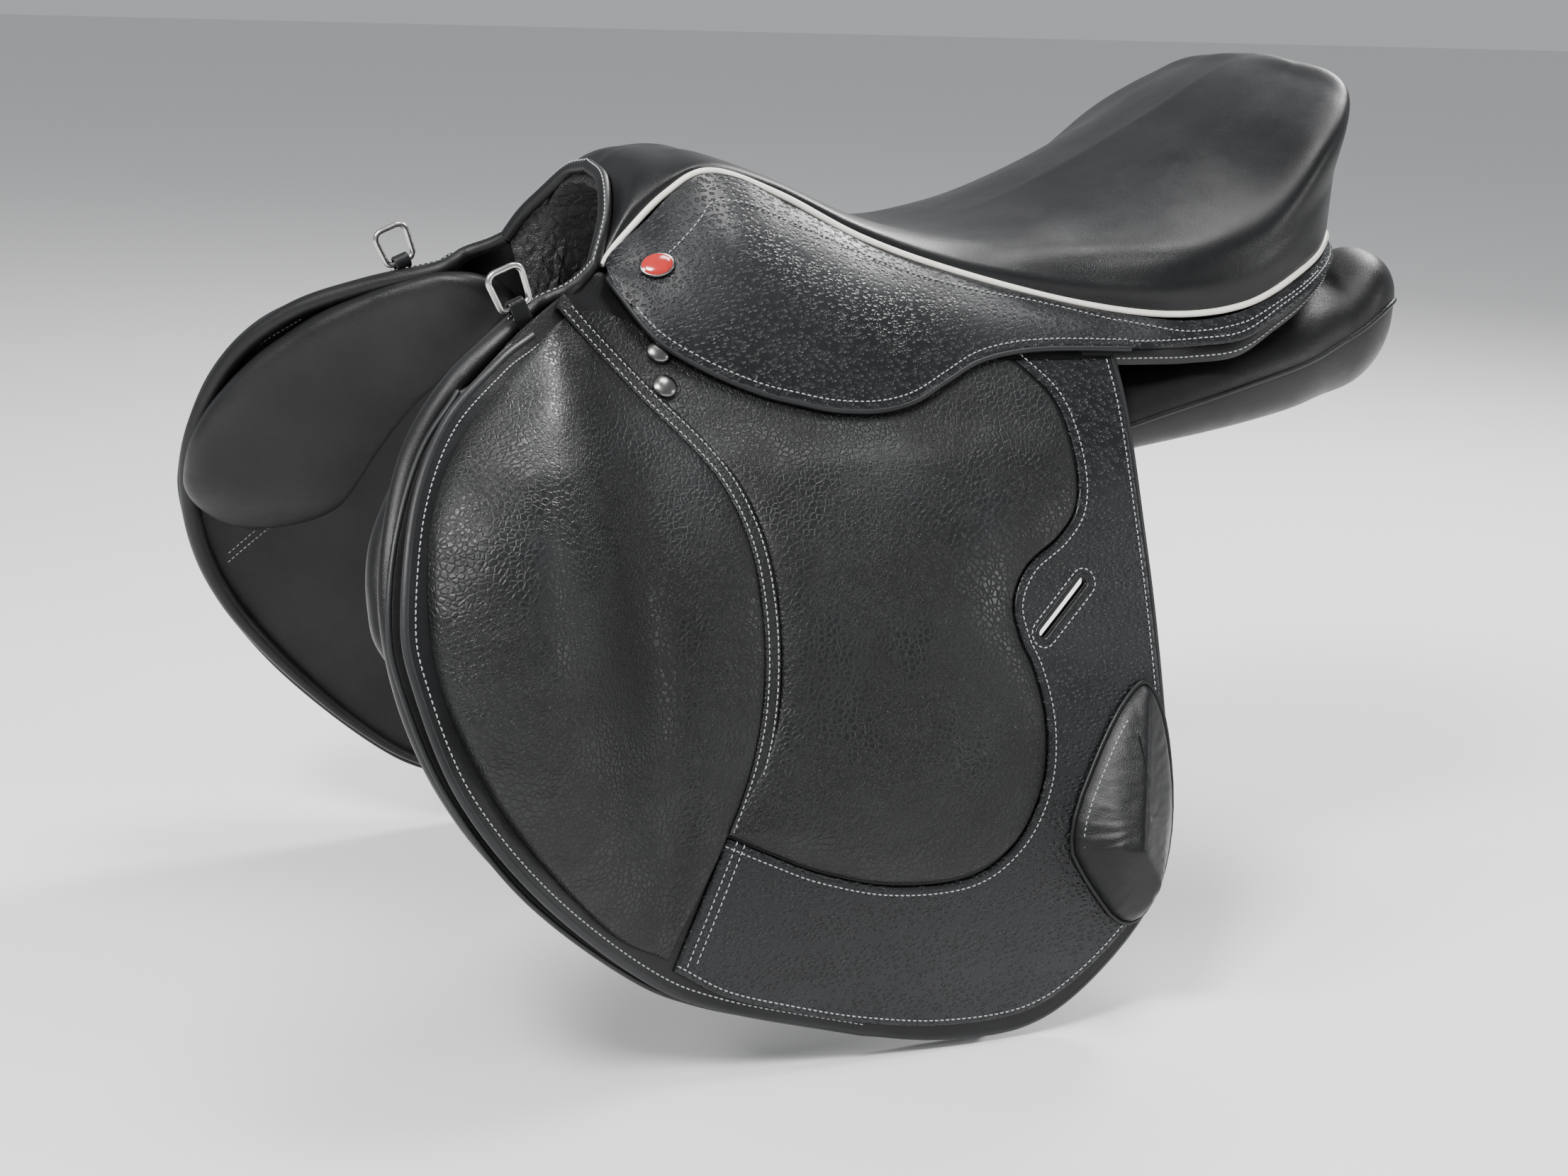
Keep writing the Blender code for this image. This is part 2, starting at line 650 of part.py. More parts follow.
# Pairs of top and bottom points; a bottom height with no distance follows the flap.
SKIRT_LOBE = [
    ((-191, 67, 67), (-192, 64)), ((-186, 66, 76), (-188, 54)), ((-165, 60, 91), (-174, 33)),
    ((-149, 58, 106), (-151, 18)), ((-131, 57, 116), (-125, 7)), ((-110, 58, 114), (-105, 2)),
    ((-87, 62, 103), (-85, -2)), ((-64, 67, 91), (-60, -3)), ((-40, 71, 80), (-38, 1)),
    ((-16, 78, 71), (-16, 11)), ((4, 85, 65), (3, 20)), ((25, 93, 59), (24, 25)),
    ((46, 101, 54), (48, 27)), ((79, 114, 47), (80, 27)), ((104, 125, 44), (106, 27)),
]
SKIRT_TAIL = [
    ((130, 136, 43), (132, 145, 27)), ((158, 141, 47), (162, 150, 31)),
    ((185, 139, 56), (190, 147, 45)), ((210, 133, 67), (214, 140, 57)),
    ((235, 114, 77), (240, 120, 68)), ((252, 88, 84), (258, 92, 77)),
    ((263, 50, 89), (270, 52, 82)), ((268, 20, 91), (276, 20, 85)),
    ((269, 0, 92), (277, 0, 85)),
]


def skirt_station(t):
    """Top and bottom of the skirt at t, 0 at the front and 1 at the back centre."""
    tops, lows = [], []
    for top, (x, z) in SKIRT_LOBE:
        lift = 11 + 4 * hump(x, -172, 25)
        tops.append(top)
        lows.append((x, flap_line(x, z) + lift, z))
    for top, low in SKIRT_TAIL:
        tops.append(top)
        lows.append(low)
    return spline(tops, t), spline(lows, t)


def skirt_point(t, v):
    top, low = skirt_station(t)
    p = top.lerp(low, v)
    wide = (top - low).length
    side = Vector((1.0, 0.0, 0.0)).cross(low - top).normalized()
    if t > 0.62:
        side = Vector((0.0, 0.0, 0.0))
    return p + side * 0.08 * wide * math.sin(math.pi * v) * smooth_step((0.62 - t) / 0.08)


def fold_share(t):
    """Share of the skirt's depth that lies above the fold line at t."""
    low, high = 0.0, 1.0
    for _ in range(30):
        v = (low + high) / 2
        p = skirt_point(t, v)
        if p.z > fold_height(p.x):
            low = v
        else:
            high = v
    return low


LOBE_SPAN = (0.064, 0.585)
FOLD_GAP = (0.014, 0.034)    # shares of the skirt's depth left open above and below the fold


def top_share(t):
    """Share of the skirt's depth where the leather starts, just clear of the welt."""
    top, low = skirt_station(t)
    return (WELT_INSET + 0.4) / max((low - top).length, 5.0)


def lowest_share(t):
    """Share of the skirt's depth where the fixed part ends."""
    if LOBE_SPAN[0] <= t <= LOBE_SPAN[1]:
        return fold_share(t) - FOLD_GAP[0]
    return 1.0


def skirt_rows(side, spans, v_range, columns):
    """Outer and inner faces of the skirt, at the given stations."""
    outer, inner = [], []
    for t in spans:
        v0, v1 = v_range(t)
        row_out, row_in = [], []
        for j in range(columns):
            v = mix(v0, v1, j / (columns - 1))
            p = skirt_point(t, v)
            ahead = skirt_point(min(t + 0.003, 1), v) - skirt_point(max(t - 0.003, 0), v)
            down = skirt_point(t, min(v + 0.02, 1)) - skirt_point(t, max(v - 0.02, 0))
            normal = ahead.cross(down).normalized()
            if normal.y < 0 and t < 0.9:
                normal = -normal
            q = p - normal * SKIRT_THICK
            row_out.append(Vector((p.x, side * p.y, p.z)))
            row_in.append(Vector((q.x, side * q.y, q.z)))
        outer.append(row_out)
        inner.append(row_in)
    return outer, inner


def skirt(side, word):
    """Moving lobe below the fold line, and the fixed part above it with the tail."""
    start, end = LOBE_SPAN
    lobe = [mix(start, end, i / 14) for i in range(15)]
    outer, inner = skirt_rows(side, lobe, lambda t: (fold_share(t) + FOLD_GAP[1], 1.0), 5)
    pivot = (FOLD_FRONT[0], side * FOLD_FRONT[1], FOLD_FRONT[2])
    shell_between(f"{word}_skirt", outer, inner, "print", pivot)
    tail = [mix(end + 0.004, 0.996, i / 11) for i in range(12)]
    upper = [0.006, 0.03, 0.059] + lobe + tail
    outer, inner = skirt_rows(side, upper, lambda t: (top_share(t), lowest_share(t)), 4)
    shell_between(f"{word}_skirt_top", outer, inner, "print")
    badge(side, word)


def badge(side, word):
    t, v = 0.092, 0.46
    p = skirt_point(t, v)
    ahead = skirt_point(t + 0.02, v) - skirt_point(t - 0.02, v)
    down = skirt_point(t, v + 0.1) - skirt_point(t, v - 0.1)
    normal = ahead.cross(down).normalized()
    if normal.y < 0:
        normal = -normal
    at = p + normal * 0.9
    axis = Vector((normal.x, side * normal.y, normal.z))
    profile = [(0.0, 0.0), (7.0, 0.0), (7.4, 0.8), (6.6, 1.8), (3.6, 2.5), (0.0, 2.7)]
    turned(f"{word}_badge", profile, (at.x, side * at.y, at.z), axis, "badge", 16, 1.3)


# ---------------------------------------------------------------- panels

# x, inner edge (y, z), outer edge (y, z), half thickness
PANEL = [
    (-165, (41, 36), (88, -42), 9), (-150, (41, 38), (94, -46), 12),
    (-110, (42, 34), (106, -50), 15), (-60, (43, 25), (118, -50), 17),
    (0, (42, 15), (128, -45), 19), (60, (42, 13), (135, -34), 22),
    (115, (42, 15), (139, -20), 26), (170, (42, 18), (140, -7), 30),
    (215, (43, 24), (136, 4), 32), (245, (45, 28), (130, 14), 34),
    (265, (50, 30), (125, 18), 36), (280, (59, 38), (119, 28), 42),
    (293, (66, 40), (108, 34), 33), (302, (79, 40), (93, 38), 14),
]
ROLL_FRONT = [(-222, 52), (-262, 35), (-296, 12), (-326, -17), (-348, -53), (-353, -85),
              (-346, -123)]
ROLL_REAR = [(-182, 34), (-196, 12), (-212, -12), (-230, -40), (-244, -68), (-256, -98),
             (-268, -126)]
ROLL_THICK = (18, 30, 38, 42, 42, 38, 22)


def panel(side, word):
    centres = [(x, (g[0] + e[0]) / 2, (g[1] + e[1]) / 2) for x, g, e, _ in PANEL]
    halves = [((e[0] - g[0]) / 2, (e[1] - g[1]) / 2, b) for _, g, e, b in PANEL]
    rings = []
    for i in range(18):
        c = spline(centres, i / 17)
        h = spline(halves, i / 17)
        along = Vector((h.x, h.y))
        out = Vector((-h.y, h.x)).normalized() * h.z
        ring = []
        for k in range(14):
            turn = 2 * math.pi * k / 14
            a = math.copysign(abs(math.cos(turn)) ** 0.77, math.cos(turn))
            b = math.copysign(abs(math.sin(turn)) ** 0.77, math.sin(turn))
            yz = along * a + out * b
            ring.append(Vector((c.x, side * (c.y + yz.x), c.z + yz.y)))
        rings.append(ring)
    loft(f"{word}_panel", rings, "calf")


def front_roll(side, word):
    """Padded roll along the panel's front edge, under the sweat flap."""
    front = [(x, 0.0, z) for x, z in ROLL_FRONT]
    rear = [(x, 0.0, z) for x, z in ROLL_REAR]
    thick = [(t, 0.0, 0.0) for t in ROLL_THICK]
    rings = []
    for i in range(12):
        share = i / 11
        a, b = spline(front, share), spline(rear, share)
        depth = spline(thick, share).x
        ring = []
        for k in range(12):
            turn = 2 * math.pi * k / 12
            across = 0.5 - 0.5 * math.copysign(abs(math.cos(turn)) ** 0.8, math.cos(turn))
            bulge = math.sin(turn)
            p = a.lerp(b, across)
            outer = flap_line(p.x, p.z) - 13.5
            rise = depth * (0.5 + 0.5 * math.copysign(abs(bulge) ** 0.8, bulge))
            ring.append(Vector((p.x, side * (outer - rise), p.z)))
        rings.append(ring)
    loft(f"{word}_front_roll", rings, "calf")


def cantle_band(side, word):
    """Dark band that closes the gap between the skirt's tail and the panel."""
    outer, inner = [], []
    for i in range(12):
        t = mix(0.64, 0.996, i / 11)
        _, low = skirt_station(t)
        _, ahead = skirt_station(min(t + 0.01, 1.0))
        _, behind = skirt_station(max(t - 0.01, 0.0))
        along = ahead - behind
        out = Vector((-along.y, along.x, 0.0)).normalized()
        if out.y < 0:
            out = -out
        if t > 0.97:
            out = Vector((1.0, 0.0, 0.0))
        top = low - out * 4.8 + Vector((0.0, 0.0, -1.8))
        bottom = top - out * 1.0 + Vector((0.0, 0.0, -9.0))
        outer.append([Vector((q.x, side * q.y, q.z)) for q in (top, bottom)])
        inner.append([Vector(((q - out * 2.5).x, side * (q - out * 2.5).y, q.z))
                      for q in (top, bottom)])
    shell_between(f"{word}_cantle_band", outer, inner, "calf")


# ---------------------------------------------------------------- flaps and their pads

def flap_group(side, word):
    pivot = (FOLD_FRONT[0], side * FOLD_FRONT[1], FOLD_FRONT[2])
    slot = [slot_outline()]
    sheet(f"{word}_flap", side, flap_outline(), FLAP, "calf", pivot, slot)
    sheet(f"{word}_flap_overlay", side, overlay_outline(), OVERLAY, "print", pivot, slot)
    knee = rounded(KNEE_FRONT, 14)[:-1] + rounded(KNEE_SEAM, 12)[:-1]
    dome = domed(knee, 7.0, 21.0, 60.0)
    sheet(f"{word}_knee_pad", side, knee, (OVERLAY[0], dome), "grained", pivot)
    grip = grip_outline()
    dome_grip = domed(grip, 6.0, 3.5, 30.0)

    def rise(x, z):
        return mix(5.9, dome_grip(x, z), smooth_step((-6 - z) / 28))

    sheet(f"{word}_grip_pad", side, grip, (OVERLAY[0], rise), "grained", pivot)
    calf_block(side, word, pivot)
    for number, (x, z) in enumerate(((-172, 26), (-174, 10))):
        dome_stud(f"{word}_flap_stud_{number + 1}", side, x, z, pivot)
    tab = [(-236, 53.4), (-214, 58), (-193, 65.5), (-181, 59), (-177, 50.2), (-190, 51.2),
           (-212, 52.8)]
    sheet(f"{word}_flap_head", side, tab, FLAP, "calf")


def calf_block(side, word, pivot):
    bm = bmesh.new()
    for x, z in BLOCK_BASE:
        for lift in (8.8, 15.0):
            bm.verts.new((x, side * (flap_line(x, z) + lift), z))
    for x, lift, z in BLOCK_RIDGE:
        bm.verts.new((x, side * (flap_line(x, z) + 8 + lift), z))
    bmesh.ops.convex_hull(bm, input=bm.verts)
    loose = [v for v in bm.verts if not v.link_faces]
    bmesh.ops.delete(bm, geom=loose, context="VERTS")
    finish(f"{word}_calf_block", bm, "calf", pivot, smooth=False)


def side_normal(side, x, z):
    step = 4.0
    slope_x = (flap_line(x + step, z) - flap_line(x - step, z)) / (2 * step)
    slope_z = (flap_line(x, z + step) - flap_line(x, z - step)) / (2 * step)
    return Vector((-slope_x, side, -slope_z)).normalized()


def dome_stud(name, side, x, z, pivot):
    normal = side_normal(side, x, z)
    seat_at = Vector((x, side * (flap_line(x, z) + OVERLAY[0] + 3.6), z))
    profile = [(0.0, 0.0), (6.4, 0.0), (6.7, 0.6), (5.6, 1.8), (3.0, 2.7), (0.0, 3.0)]
    turned(name, profile, seat_at, normal, "nickel", 16, pivot=pivot)


def sweat_flap(side, word):
    front = [(x - 3 if z < 10 else x + 4, z) for x, z in rounded(FRONT_EDGE, 16)[3:]]
    bottom = [(-52, -321), (-14, -321), (-8, -290), (-6, -120), (-2, -50), (4, 4)]
    top = [(-60, 10), (-172, 14), (-216, 30)]
    sheet(f"{word}_sweat_flap", side, front + bottom + top, SWEAT_FLAP, "lining")


def girth_straps(side, word):
    half = BILLET_WIDTH / 2
    for place, x in zip(("front", "rear"), BILLET_X):
        outline = [(x - half, BILLET_TOP), (x - half, BILLET_BOTTOM + 14),
                   (x - 5, BILLET_BOTTOM), (x + 5, BILLET_BOTTOM),
                   (x + half, BILLET_BOTTOM + 14), (x + half, BILLET_TOP)]
        holes = []
        for number in range(5):
            z = BILLET_BOTTOM + 24 + 25 * number
            holes.append([(x + 2.4 * math.cos(2 * math.pi * k / 6),
                           z + 2.4 * math.sin(2 * math.pi * k / 6)) for k in range(6)])
        pivot = (x, side * (flap_line(x, BILLET_TOP) - 5), BILLET_TOP)
        sheet(f"{word}_{place}_billet", side, outline, BILLET, "calf", pivot, holes)


def girth_web(name, x, over):
    """Cross web over the tree that the girth straps of both sides hang from."""
    low = flap_line(x, BILLET_TOP) - 5.2
    half = [(x, 0.0, over - 4), (x, 50.0, over - 1), (x, 60.0, over), (x, 74.0, over - 3),
            (x, mix(74, low, 0.75), mix(over - 3, BILLET_TOP, 0.6)),
            (x, low, BILLET_TOP + 1.4)]
    strap(name, mirror_y(half[::-1])[:-1] + [Vector(p) for p in half],
          Vector((11.0, 0.0, 0.0)), 1.8, count=13)


def dee(side, word):
    """Rounded ring that turns in a leather loop at the front edge of the panel."""
    edge = Vector((-0.92, 0.0, -0.39))
    rise = Vector((-0.39, 0.0, 0.92))
    centre = Vector((-248.0, side * 95.3, 50.0))
    ring = []
    corner = 5.0
    for cx, cz, first in ((6.0, 20.5, 0), (-6.0, 20.5, 90), (-5.0, 0.0, 180), (5.0, 0.0, 270)):
        radius = corner if cz > 5 else 3.5
        cz = cz - corner if cz > 5 else cz + radius
        cx = cx - math.copysign(radius - 3.5, cx)
        for step in range(4):
            turn = math.radians(first + 30 * step)
            ring.append(centre + edge * (cx + radius * math.cos(turn))
                        + rise * (cz + radius * math.sin(turn)))
    tube(f"{word}_dee_ring", ring, 1.7, "nickel", centre, closed=True)
    hub = rod(f"{word}_dee_tab", centre - edge * 5.0, centre + edge * 5.0, 4.4, "calf", 14,
              pivot=(0, 0, 0))
    tail = block(f"{word}_dee_tail", (0, 0, 0), (9.4, 3.2, 12), "calf")
    turn = Matrix((edge, Vector((0.0, 1.0, 0.0)), rise)).transposed().to_4x4()
    shift = centre - rise * 7.5 + Vector((0.0, side * 3.6, 0.0))
    tail.data.transform(Matrix.Translation(shift * MM) @ turn)
    boolean(hub, "UNION", as_cutter(tail))
    bore = rod(f"{word}_dee_bore", centre - edge * 12, centre + edge * 12, 2.2, "calf", 12)
    boolean(hub, "DIFFERENCE", as_cutter(bore))


def main():
    tree()
    seat()
    for x, over, name in ((BILLET_X[0], 53.6, "girth_web_front"),
                          (BILLET_X[1], 49.6, "girth_web_rear")):
        girth_web(name, x, over)
    for side, word in SIDES:
        stirrup_bar(side, word)
        skirt(side, word)
        panel(side, word)
        front_roll(side, word)
        cantle_band(side, word)
        flap_group(side, word)
        sweat_flap(side, word)
        girth_straps(side, word)
        dee(side, word)


clear_scene()
parts = new_collection("english_saddle")
cutters = new_collection("cutters")
main()
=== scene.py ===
"""Looks of the english saddle: leather, stitching, piping and metal around the CAD frame.

Sizes are in millimetres in the CAD frame: +Z up, the pommel towards -X, the near side
towards -Y.  build() turns them to metres.
"""

import math

import bmesh
import bpy
import numpy as np
from mathutils import Matrix, Vector, noise


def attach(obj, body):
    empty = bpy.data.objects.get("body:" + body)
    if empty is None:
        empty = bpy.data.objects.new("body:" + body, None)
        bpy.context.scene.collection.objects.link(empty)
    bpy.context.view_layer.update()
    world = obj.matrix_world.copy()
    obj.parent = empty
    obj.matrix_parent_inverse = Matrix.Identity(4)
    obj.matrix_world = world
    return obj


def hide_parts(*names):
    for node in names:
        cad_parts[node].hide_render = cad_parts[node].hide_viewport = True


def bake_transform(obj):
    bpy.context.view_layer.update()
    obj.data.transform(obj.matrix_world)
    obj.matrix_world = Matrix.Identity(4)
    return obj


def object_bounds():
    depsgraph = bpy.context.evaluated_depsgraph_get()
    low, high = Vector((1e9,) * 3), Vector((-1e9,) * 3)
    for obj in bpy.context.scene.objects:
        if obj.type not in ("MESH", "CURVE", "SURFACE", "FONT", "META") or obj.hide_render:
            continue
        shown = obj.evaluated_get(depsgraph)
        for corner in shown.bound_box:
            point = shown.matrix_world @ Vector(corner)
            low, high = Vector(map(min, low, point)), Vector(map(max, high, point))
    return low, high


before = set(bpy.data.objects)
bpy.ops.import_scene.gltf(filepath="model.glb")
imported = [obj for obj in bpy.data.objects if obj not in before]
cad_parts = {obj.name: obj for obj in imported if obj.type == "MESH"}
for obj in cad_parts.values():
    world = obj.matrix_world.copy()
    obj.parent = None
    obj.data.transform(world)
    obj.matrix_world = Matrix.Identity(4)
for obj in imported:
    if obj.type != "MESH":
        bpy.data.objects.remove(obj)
CAD_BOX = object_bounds()
MM = 0.001
SIDES = ((-1, "near"), (1, "off"))

# ---------------------------------------------------------------- the saddle's main lines

FOLD_FRONT = (-188.0, 92.0, 50.0)
FOLD_REAR = (95.0, 138.0, 36.2)
FRONT_EDGE = [(-247, 39), (-273, 30), (-310, 8), (-334, -27), (-346, -74), (-344, -107),
              (-325, -161), (-284, -215), (-225, -268), (-180, -292), (-100, -316)]
BOTTOM_EDGE = [(-100, -316), (-52, -325), (-2, -325), (36, -308), (75, -272), (90, -235)]
REAR_EDGE = [(85, 24), (87, -5), (88, -60), (90, -133), (92, -207), (90, -235)]
FLAP_TOP = [(-247, 39), (-238, 45.5), (-222, 52.5), (-206, 59), (-194, 64), (-182, 58),
            (-170, 44), (-158, 30.5), (-118, 30), (-80, 30.5), (-62, 38), (-20, 39.5), (30, 36),
            (58, 29), (85, 24)]
BAND_EDGE = [(26, 20), (44, 0), (50, -29), (47, -53), (34, -68), (12, -82), (1, -100),
             (3, -119), (10, -136), (15, -160), (14, -185), (7, -206), (-6, -224),
             (-26, -237), (-51, -241), (-87, -238), (-122, -228), (-145, -218), (-174, -204)]
BAND_OUTER = [(82, 21), (84, -5), (85, -60), (87, -133), (89, -207), (86, -238), (72, -267),
              (35, -299), (-2, -316), (-52, -317), (-100, -309), (-140, -298), (-178, -285),
              (-206, -268)]
KNEE_FRONT = [(-228, 42), (-275, 18), (-311, -9), (-331, -50), (-331, -109), (-300, -175),
              (-244, -240), (-209, -262)]
KNEE_SEAM = [(-221, 44), (-189, 6), (-156, -36), (-146, -90), (-152, -150), (-174, -204),
             (-209, -262)]
BLOCK_BASE = [(73, -146), (52, -169), (23, -224), (35, -248), (59, -279), (80, -262),
              (91, -222), (89, -170), (81, -149)]
BLOCK_PEAK = np.array((54.0, -226.0, 37.0))
BLOCK_FACETS = ((140.0, 0.70), (12.0, 0.62), (232.0, 0.70))
SLOT_ENDS = ((44.0, -92.9), (17.0, -117.2))
SLOT_WIDTH = 5.5
STUDS = ((-172, 26), (-174, 10))
STRAP_TOP, STRAP_END = 18.4, -290.0

# Distances outwards from the flap's inner face
PAD_BASE = 4.2
STRAP_MIDDLE = -5.25
SWEAT_MIDDLE = -10.75

# Thicknesses and gaps
FLAP_HALF = 2.0
SKIRT_HALF = 1.5
SEAT_LEATHER = 2.4
WELT_GAP = 3.6
CENTRE_GAP = 0.25
DEE_LOOP = 9.4

STITCH_SPACING, STITCH_LENGTH, STITCH_WIDTH = 3.3, 2.3, 0.36
# Places along a stitch, with its rise above the leather and its share of the thread's width
STITCH_LOOP = ((-0.5, -0.35, 0.55), (-0.25, 0.28, 0.95), (0.0, 0.42, 1.0), (0.25, 0.28, 0.95),
               (0.5, -0.35, 0.55))

# Each row runs from the welt up over the seat's edge to the spine.
SEAT_ROWS = [
    [(-191, 67, 67), (-184, 59, 81), (-177, 47, 93), (-170, 25, 108), (-168, 0, 113)],
    [(-176, 62, 82), (-170, 58, 98), (-163, 45, 111), (-158, 24, 119), (-156, 0, 121)],
    [(-152, 58, 103), (-146, 56, 113), (-142, 42, 119), (-139, 22, 122), (-138, 0, 123)],
    [(-126, 57, 115), (-122, 51, 119), (-120, 36, 121), (-118, 18, 122), (-117, 0, 121)],
    [(-87, 62, 103), (-85, 57, 108), (-83, 42, 110), (-80, 20, 109), (-80, 0, 107)],
    [(-40, 71, 80), (-36, 66, 86), (-32, 48, 89), (-30, 25, 88), (-29, 0, 86)],
    [(10, 88, 63), (14, 86, 70), (17, 68, 78), (19, 34, 80), (20, 0, 80)],
    [(72, 112, 48), (74, 113, 61), (76, 98, 79), (77, 50, 89), (78, 0, 92)],
    [(123, 133, 43), (126, 139, 60), (130, 129, 84), (132, 66, 107), (134, 0, 117)],
    [(168, 141, 49), (172, 143, 73), (178, 131, 102), (182, 66, 132), (185, 0, 144)],
    [(210, 133, 67), (214, 132, 98), (220, 125, 136), (221, 62, 156), (222, 0, 165)],
    [(240, 110, 79), (243, 109, 115), (249, 108, 157), (245, 54, 170), (243, 0, 175)],
    [(256, 80, 85), (259, 79, 125), (264, 78, 169), (257, 40, 178), (254, 0, 179)],
    [(266, 0, 92), (270, 0, 130), (272, 0, 168), (267, 0, 179), (262, 0, 181)],
]
# Pairs of top and bottom points; a bottom height with no distance follows the flap.
SKIRT_LOBE = [
    ((-191, 67, 67), (-192, 64)), ((-186, 66, 76), (-188, 54)), ((-165, 60, 91), (-174, 33)),
    ((-149, 58, 106), (-151, 18)), ((-131, 57, 116), (-125, 7)), ((-110, 58, 114), (-105, 2)),
    ((-87, 62, 103), (-85, -2)), ((-64, 67, 91), (-60, -3)), ((-40, 71, 80), (-38, 1)),
    ((-16, 78, 71), (-16, 11)), ((4, 85, 65), (3, 20)), ((25, 93, 59), (24, 25)),
    ((46, 101, 54), (48, 27)), ((79, 114, 47), (80, 27)), ((104, 125, 44), (106, 27)),
]
SKIRT_TAIL = [
    ((130, 136, 43), (132, 145, 27)), ((158, 141, 47), (162, 150, 31)),
    ((185, 139, 56), (190, 147, 45)), ((210, 133, 67), (214, 140, 57)),
    ((235, 114, 77), (240, 120, 68)), ((252, 88, 84), (258, 92, 77)),
    ((263, 50, 89), (270, 52, 82)), ((268, 20, 91), (276, 20, 85)),
    ((269, 0, 92), (277, 0, 85)),
]
LOBE_END = 0.585
# x, inner edge (y, z), outer edge (y, z), half thickness
PANEL = [
    (-165, (41, 36), (88, -42), 9), (-150, (41, 38), (94, -46), 12),
    (-110, (42, 34), (106, -50), 15), (-60, (43, 25), (118, -50), 17),
    (0, (42, 15), (128, -45), 19), (60, (42, 13), (135, -34), 22),
    (115, (42, 15), (139, -20), 26), (170, (42, 18), (140, -7), 30),
    (215, (43, 24), (136, 4), 32), (245, (45, 28), (130, 14), 34),
    (258, (48, 33), (128, 19), 37), (280, (52, 40), (126, 30), 42),
    (302, (56, 45), (124, 38), 44),
]
ROLL_FRONT = [(-222, 52), (-262, 35), (-296, 12), (-326, -17), (-348, -53), (-353, -85),
              (-346, -123)]
ROLL_REAR = [(-182, 34), (-196, 12), (-212, -12), (-230, -40), (-244, -68), (-256, -98),
             (-268, -126)]
ROLL_THICK = (18, 30, 38, 42, 42, 38, 22)


# ---------------------------------------------------------------- curves

def smooth_step(t):
    t = np.clip(t, 0.0, 1.0)
    return t * t * (3.0 - 2.0 * t)


def hump(x, centre, width):
    return np.exp(-((x - centre) / width) ** 2)


def mix(a, b, t):
    return a + (b - a) * t


def spline(points, t):
    """Points at shares t of the smooth curve through points."""
    pts = np.asarray(points, float)
    t = np.atleast_1d(np.asarray(t, float))
    place = np.clip(t, 0, 1) * (len(pts) - 1)
    i = np.minimum(place.astype(int), len(pts) - 2)
    f = (place - i)[:, None]
    ext = np.vstack([2 * pts[0] - pts[1], pts, 2 * pts[-1] - pts[-2]])
    p0, p1, p2, p3 = ext[i], ext[i + 1], ext[i + 2], ext[i + 3]
    return 0.5 * (2 * p1 + (p2 - p0) * f + (2 * p0 - 5 * p1 + 4 * p2 - p3) * f ** 2
                  + (3 * p1 - p0 - 3 * p2 + p3) * f ** 3)


def curve(points, count):
    """Smooth curve through points, as count points."""
    return spline(points, np.linspace(0, 1, count))


def lengths(line):
    return np.r_[0, np.cumsum(np.linalg.norm(np.diff(line, axis=0), axis=1))]


def sampled(line, at, want):
    """Rows of a line at wanted distances; at holds each row's own distance."""
    return np.column_stack([np.interp(want, at, line[:, k]) for k in range(line.shape[1])])


def along(points, shares):
    """Points at shares of the length of the smooth curve through points."""
    line = curve(points, 40 * len(points))
    at = lengths(line)
    return sampled(line, at, np.asarray(shares) * at[-1])


def resample(line, step):
    """Points a fixed step apart along a dense line."""
    at = lengths(line)
    return sampled(line, at, np.linspace(0, at[-1], max(int(round(at[-1] / step)) + 1, 2)))


def unit(vectors):
    return vectors / np.maximum(np.linalg.norm(vectors, axis=-1, keepdims=True), 1e-9)


def left_of(line):
    """Unit normals on the left of a line in two dimensions."""
    ahead = unit(np.gradient(line, axis=0))
    return np.column_stack([-ahead[:, 1], ahead[:, 0]])


def inward(line, depth):
    """Open x, z line moved to its left by depth."""
    return line + left_of(line) * depth


def circle(count):
    return np.linspace(0, 2 * np.pi, count, endpoint=False)


def shares(count, size):
    """Shares from 0 to 1, closer together within a few millimetres of both ends."""
    rim = np.array([0.0, 0.25, 0.8, 1.6, 2.8, 4.6]) / size
    return np.r_[rim[:-1], np.linspace(rim[-1], 1 - rim[-1], count), (1 - rim[:-1])[::-1]]


def ruled(left, right, us, vs):
    """Grid between two curves: rows down the curves, columns across."""
    a, b = along(left, vs)[:, None], along(right, vs)[:, None]
    return a + (b - a) * us[None, :, None]


def coons(top, bottom, left, right, us, vs):
    """Grid that fills four curves which meet at their ends."""
    t, b = along(top, us)[None], along(bottom, us)[None]
    left_line, right_line = along(left, vs)[:, None], along(right, vs)[:, None]
    u, v = us[None, :, None], vs[:, None, None]
    corners = ((1 - u) * (1 - v) * t[:, :1] + u * (1 - v) * t[:, -1:]
               + (1 - u) * v * b[:, :1] + u * v * b[:, -1:])
    return (1 - v) * t + v * b + (1 - u) * left_line + u * right_line - corners


def rim_distance(grid, sides="lrtb"):
    """Distance from each grid point to the nearest of the named borders, along the grid."""
    across = np.pad(np.cumsum(np.linalg.norm(np.diff(grid, axis=1), axis=2), 1), ((0, 0), (1, 0)))
    down = np.pad(np.cumsum(np.linalg.norm(np.diff(grid, axis=0), axis=2), 0), ((1, 0), (0, 0)))
    found = {"l": across, "r": across[:, -1:] - across, "t": down, "b": down[-1:] - down}
    return np.min([found[k] for k in sides], axis=0)


def rolled(distance, radius):
    """0 at an edge, rising along a quarter circle to 1 at radius from it."""
    return np.sqrt(np.clip(1 - (1 - np.clip(distance / radius, 0, 1)) ** 2, 0, 1))


def ripple(points, size, seed=0.0):
    """Smooth noise from -1 to 1 at each point, with features of about size."""
    flat = points.reshape(-1, 3) / size + seed
    values = [noise.noise(Vector(p)) for p in flat]
    return np.array(values).reshape(points.shape[:-1])


def normals(grid):
    return unit(np.cross(np.gradient(grid, axis=0), np.gradient(grid, axis=1)))


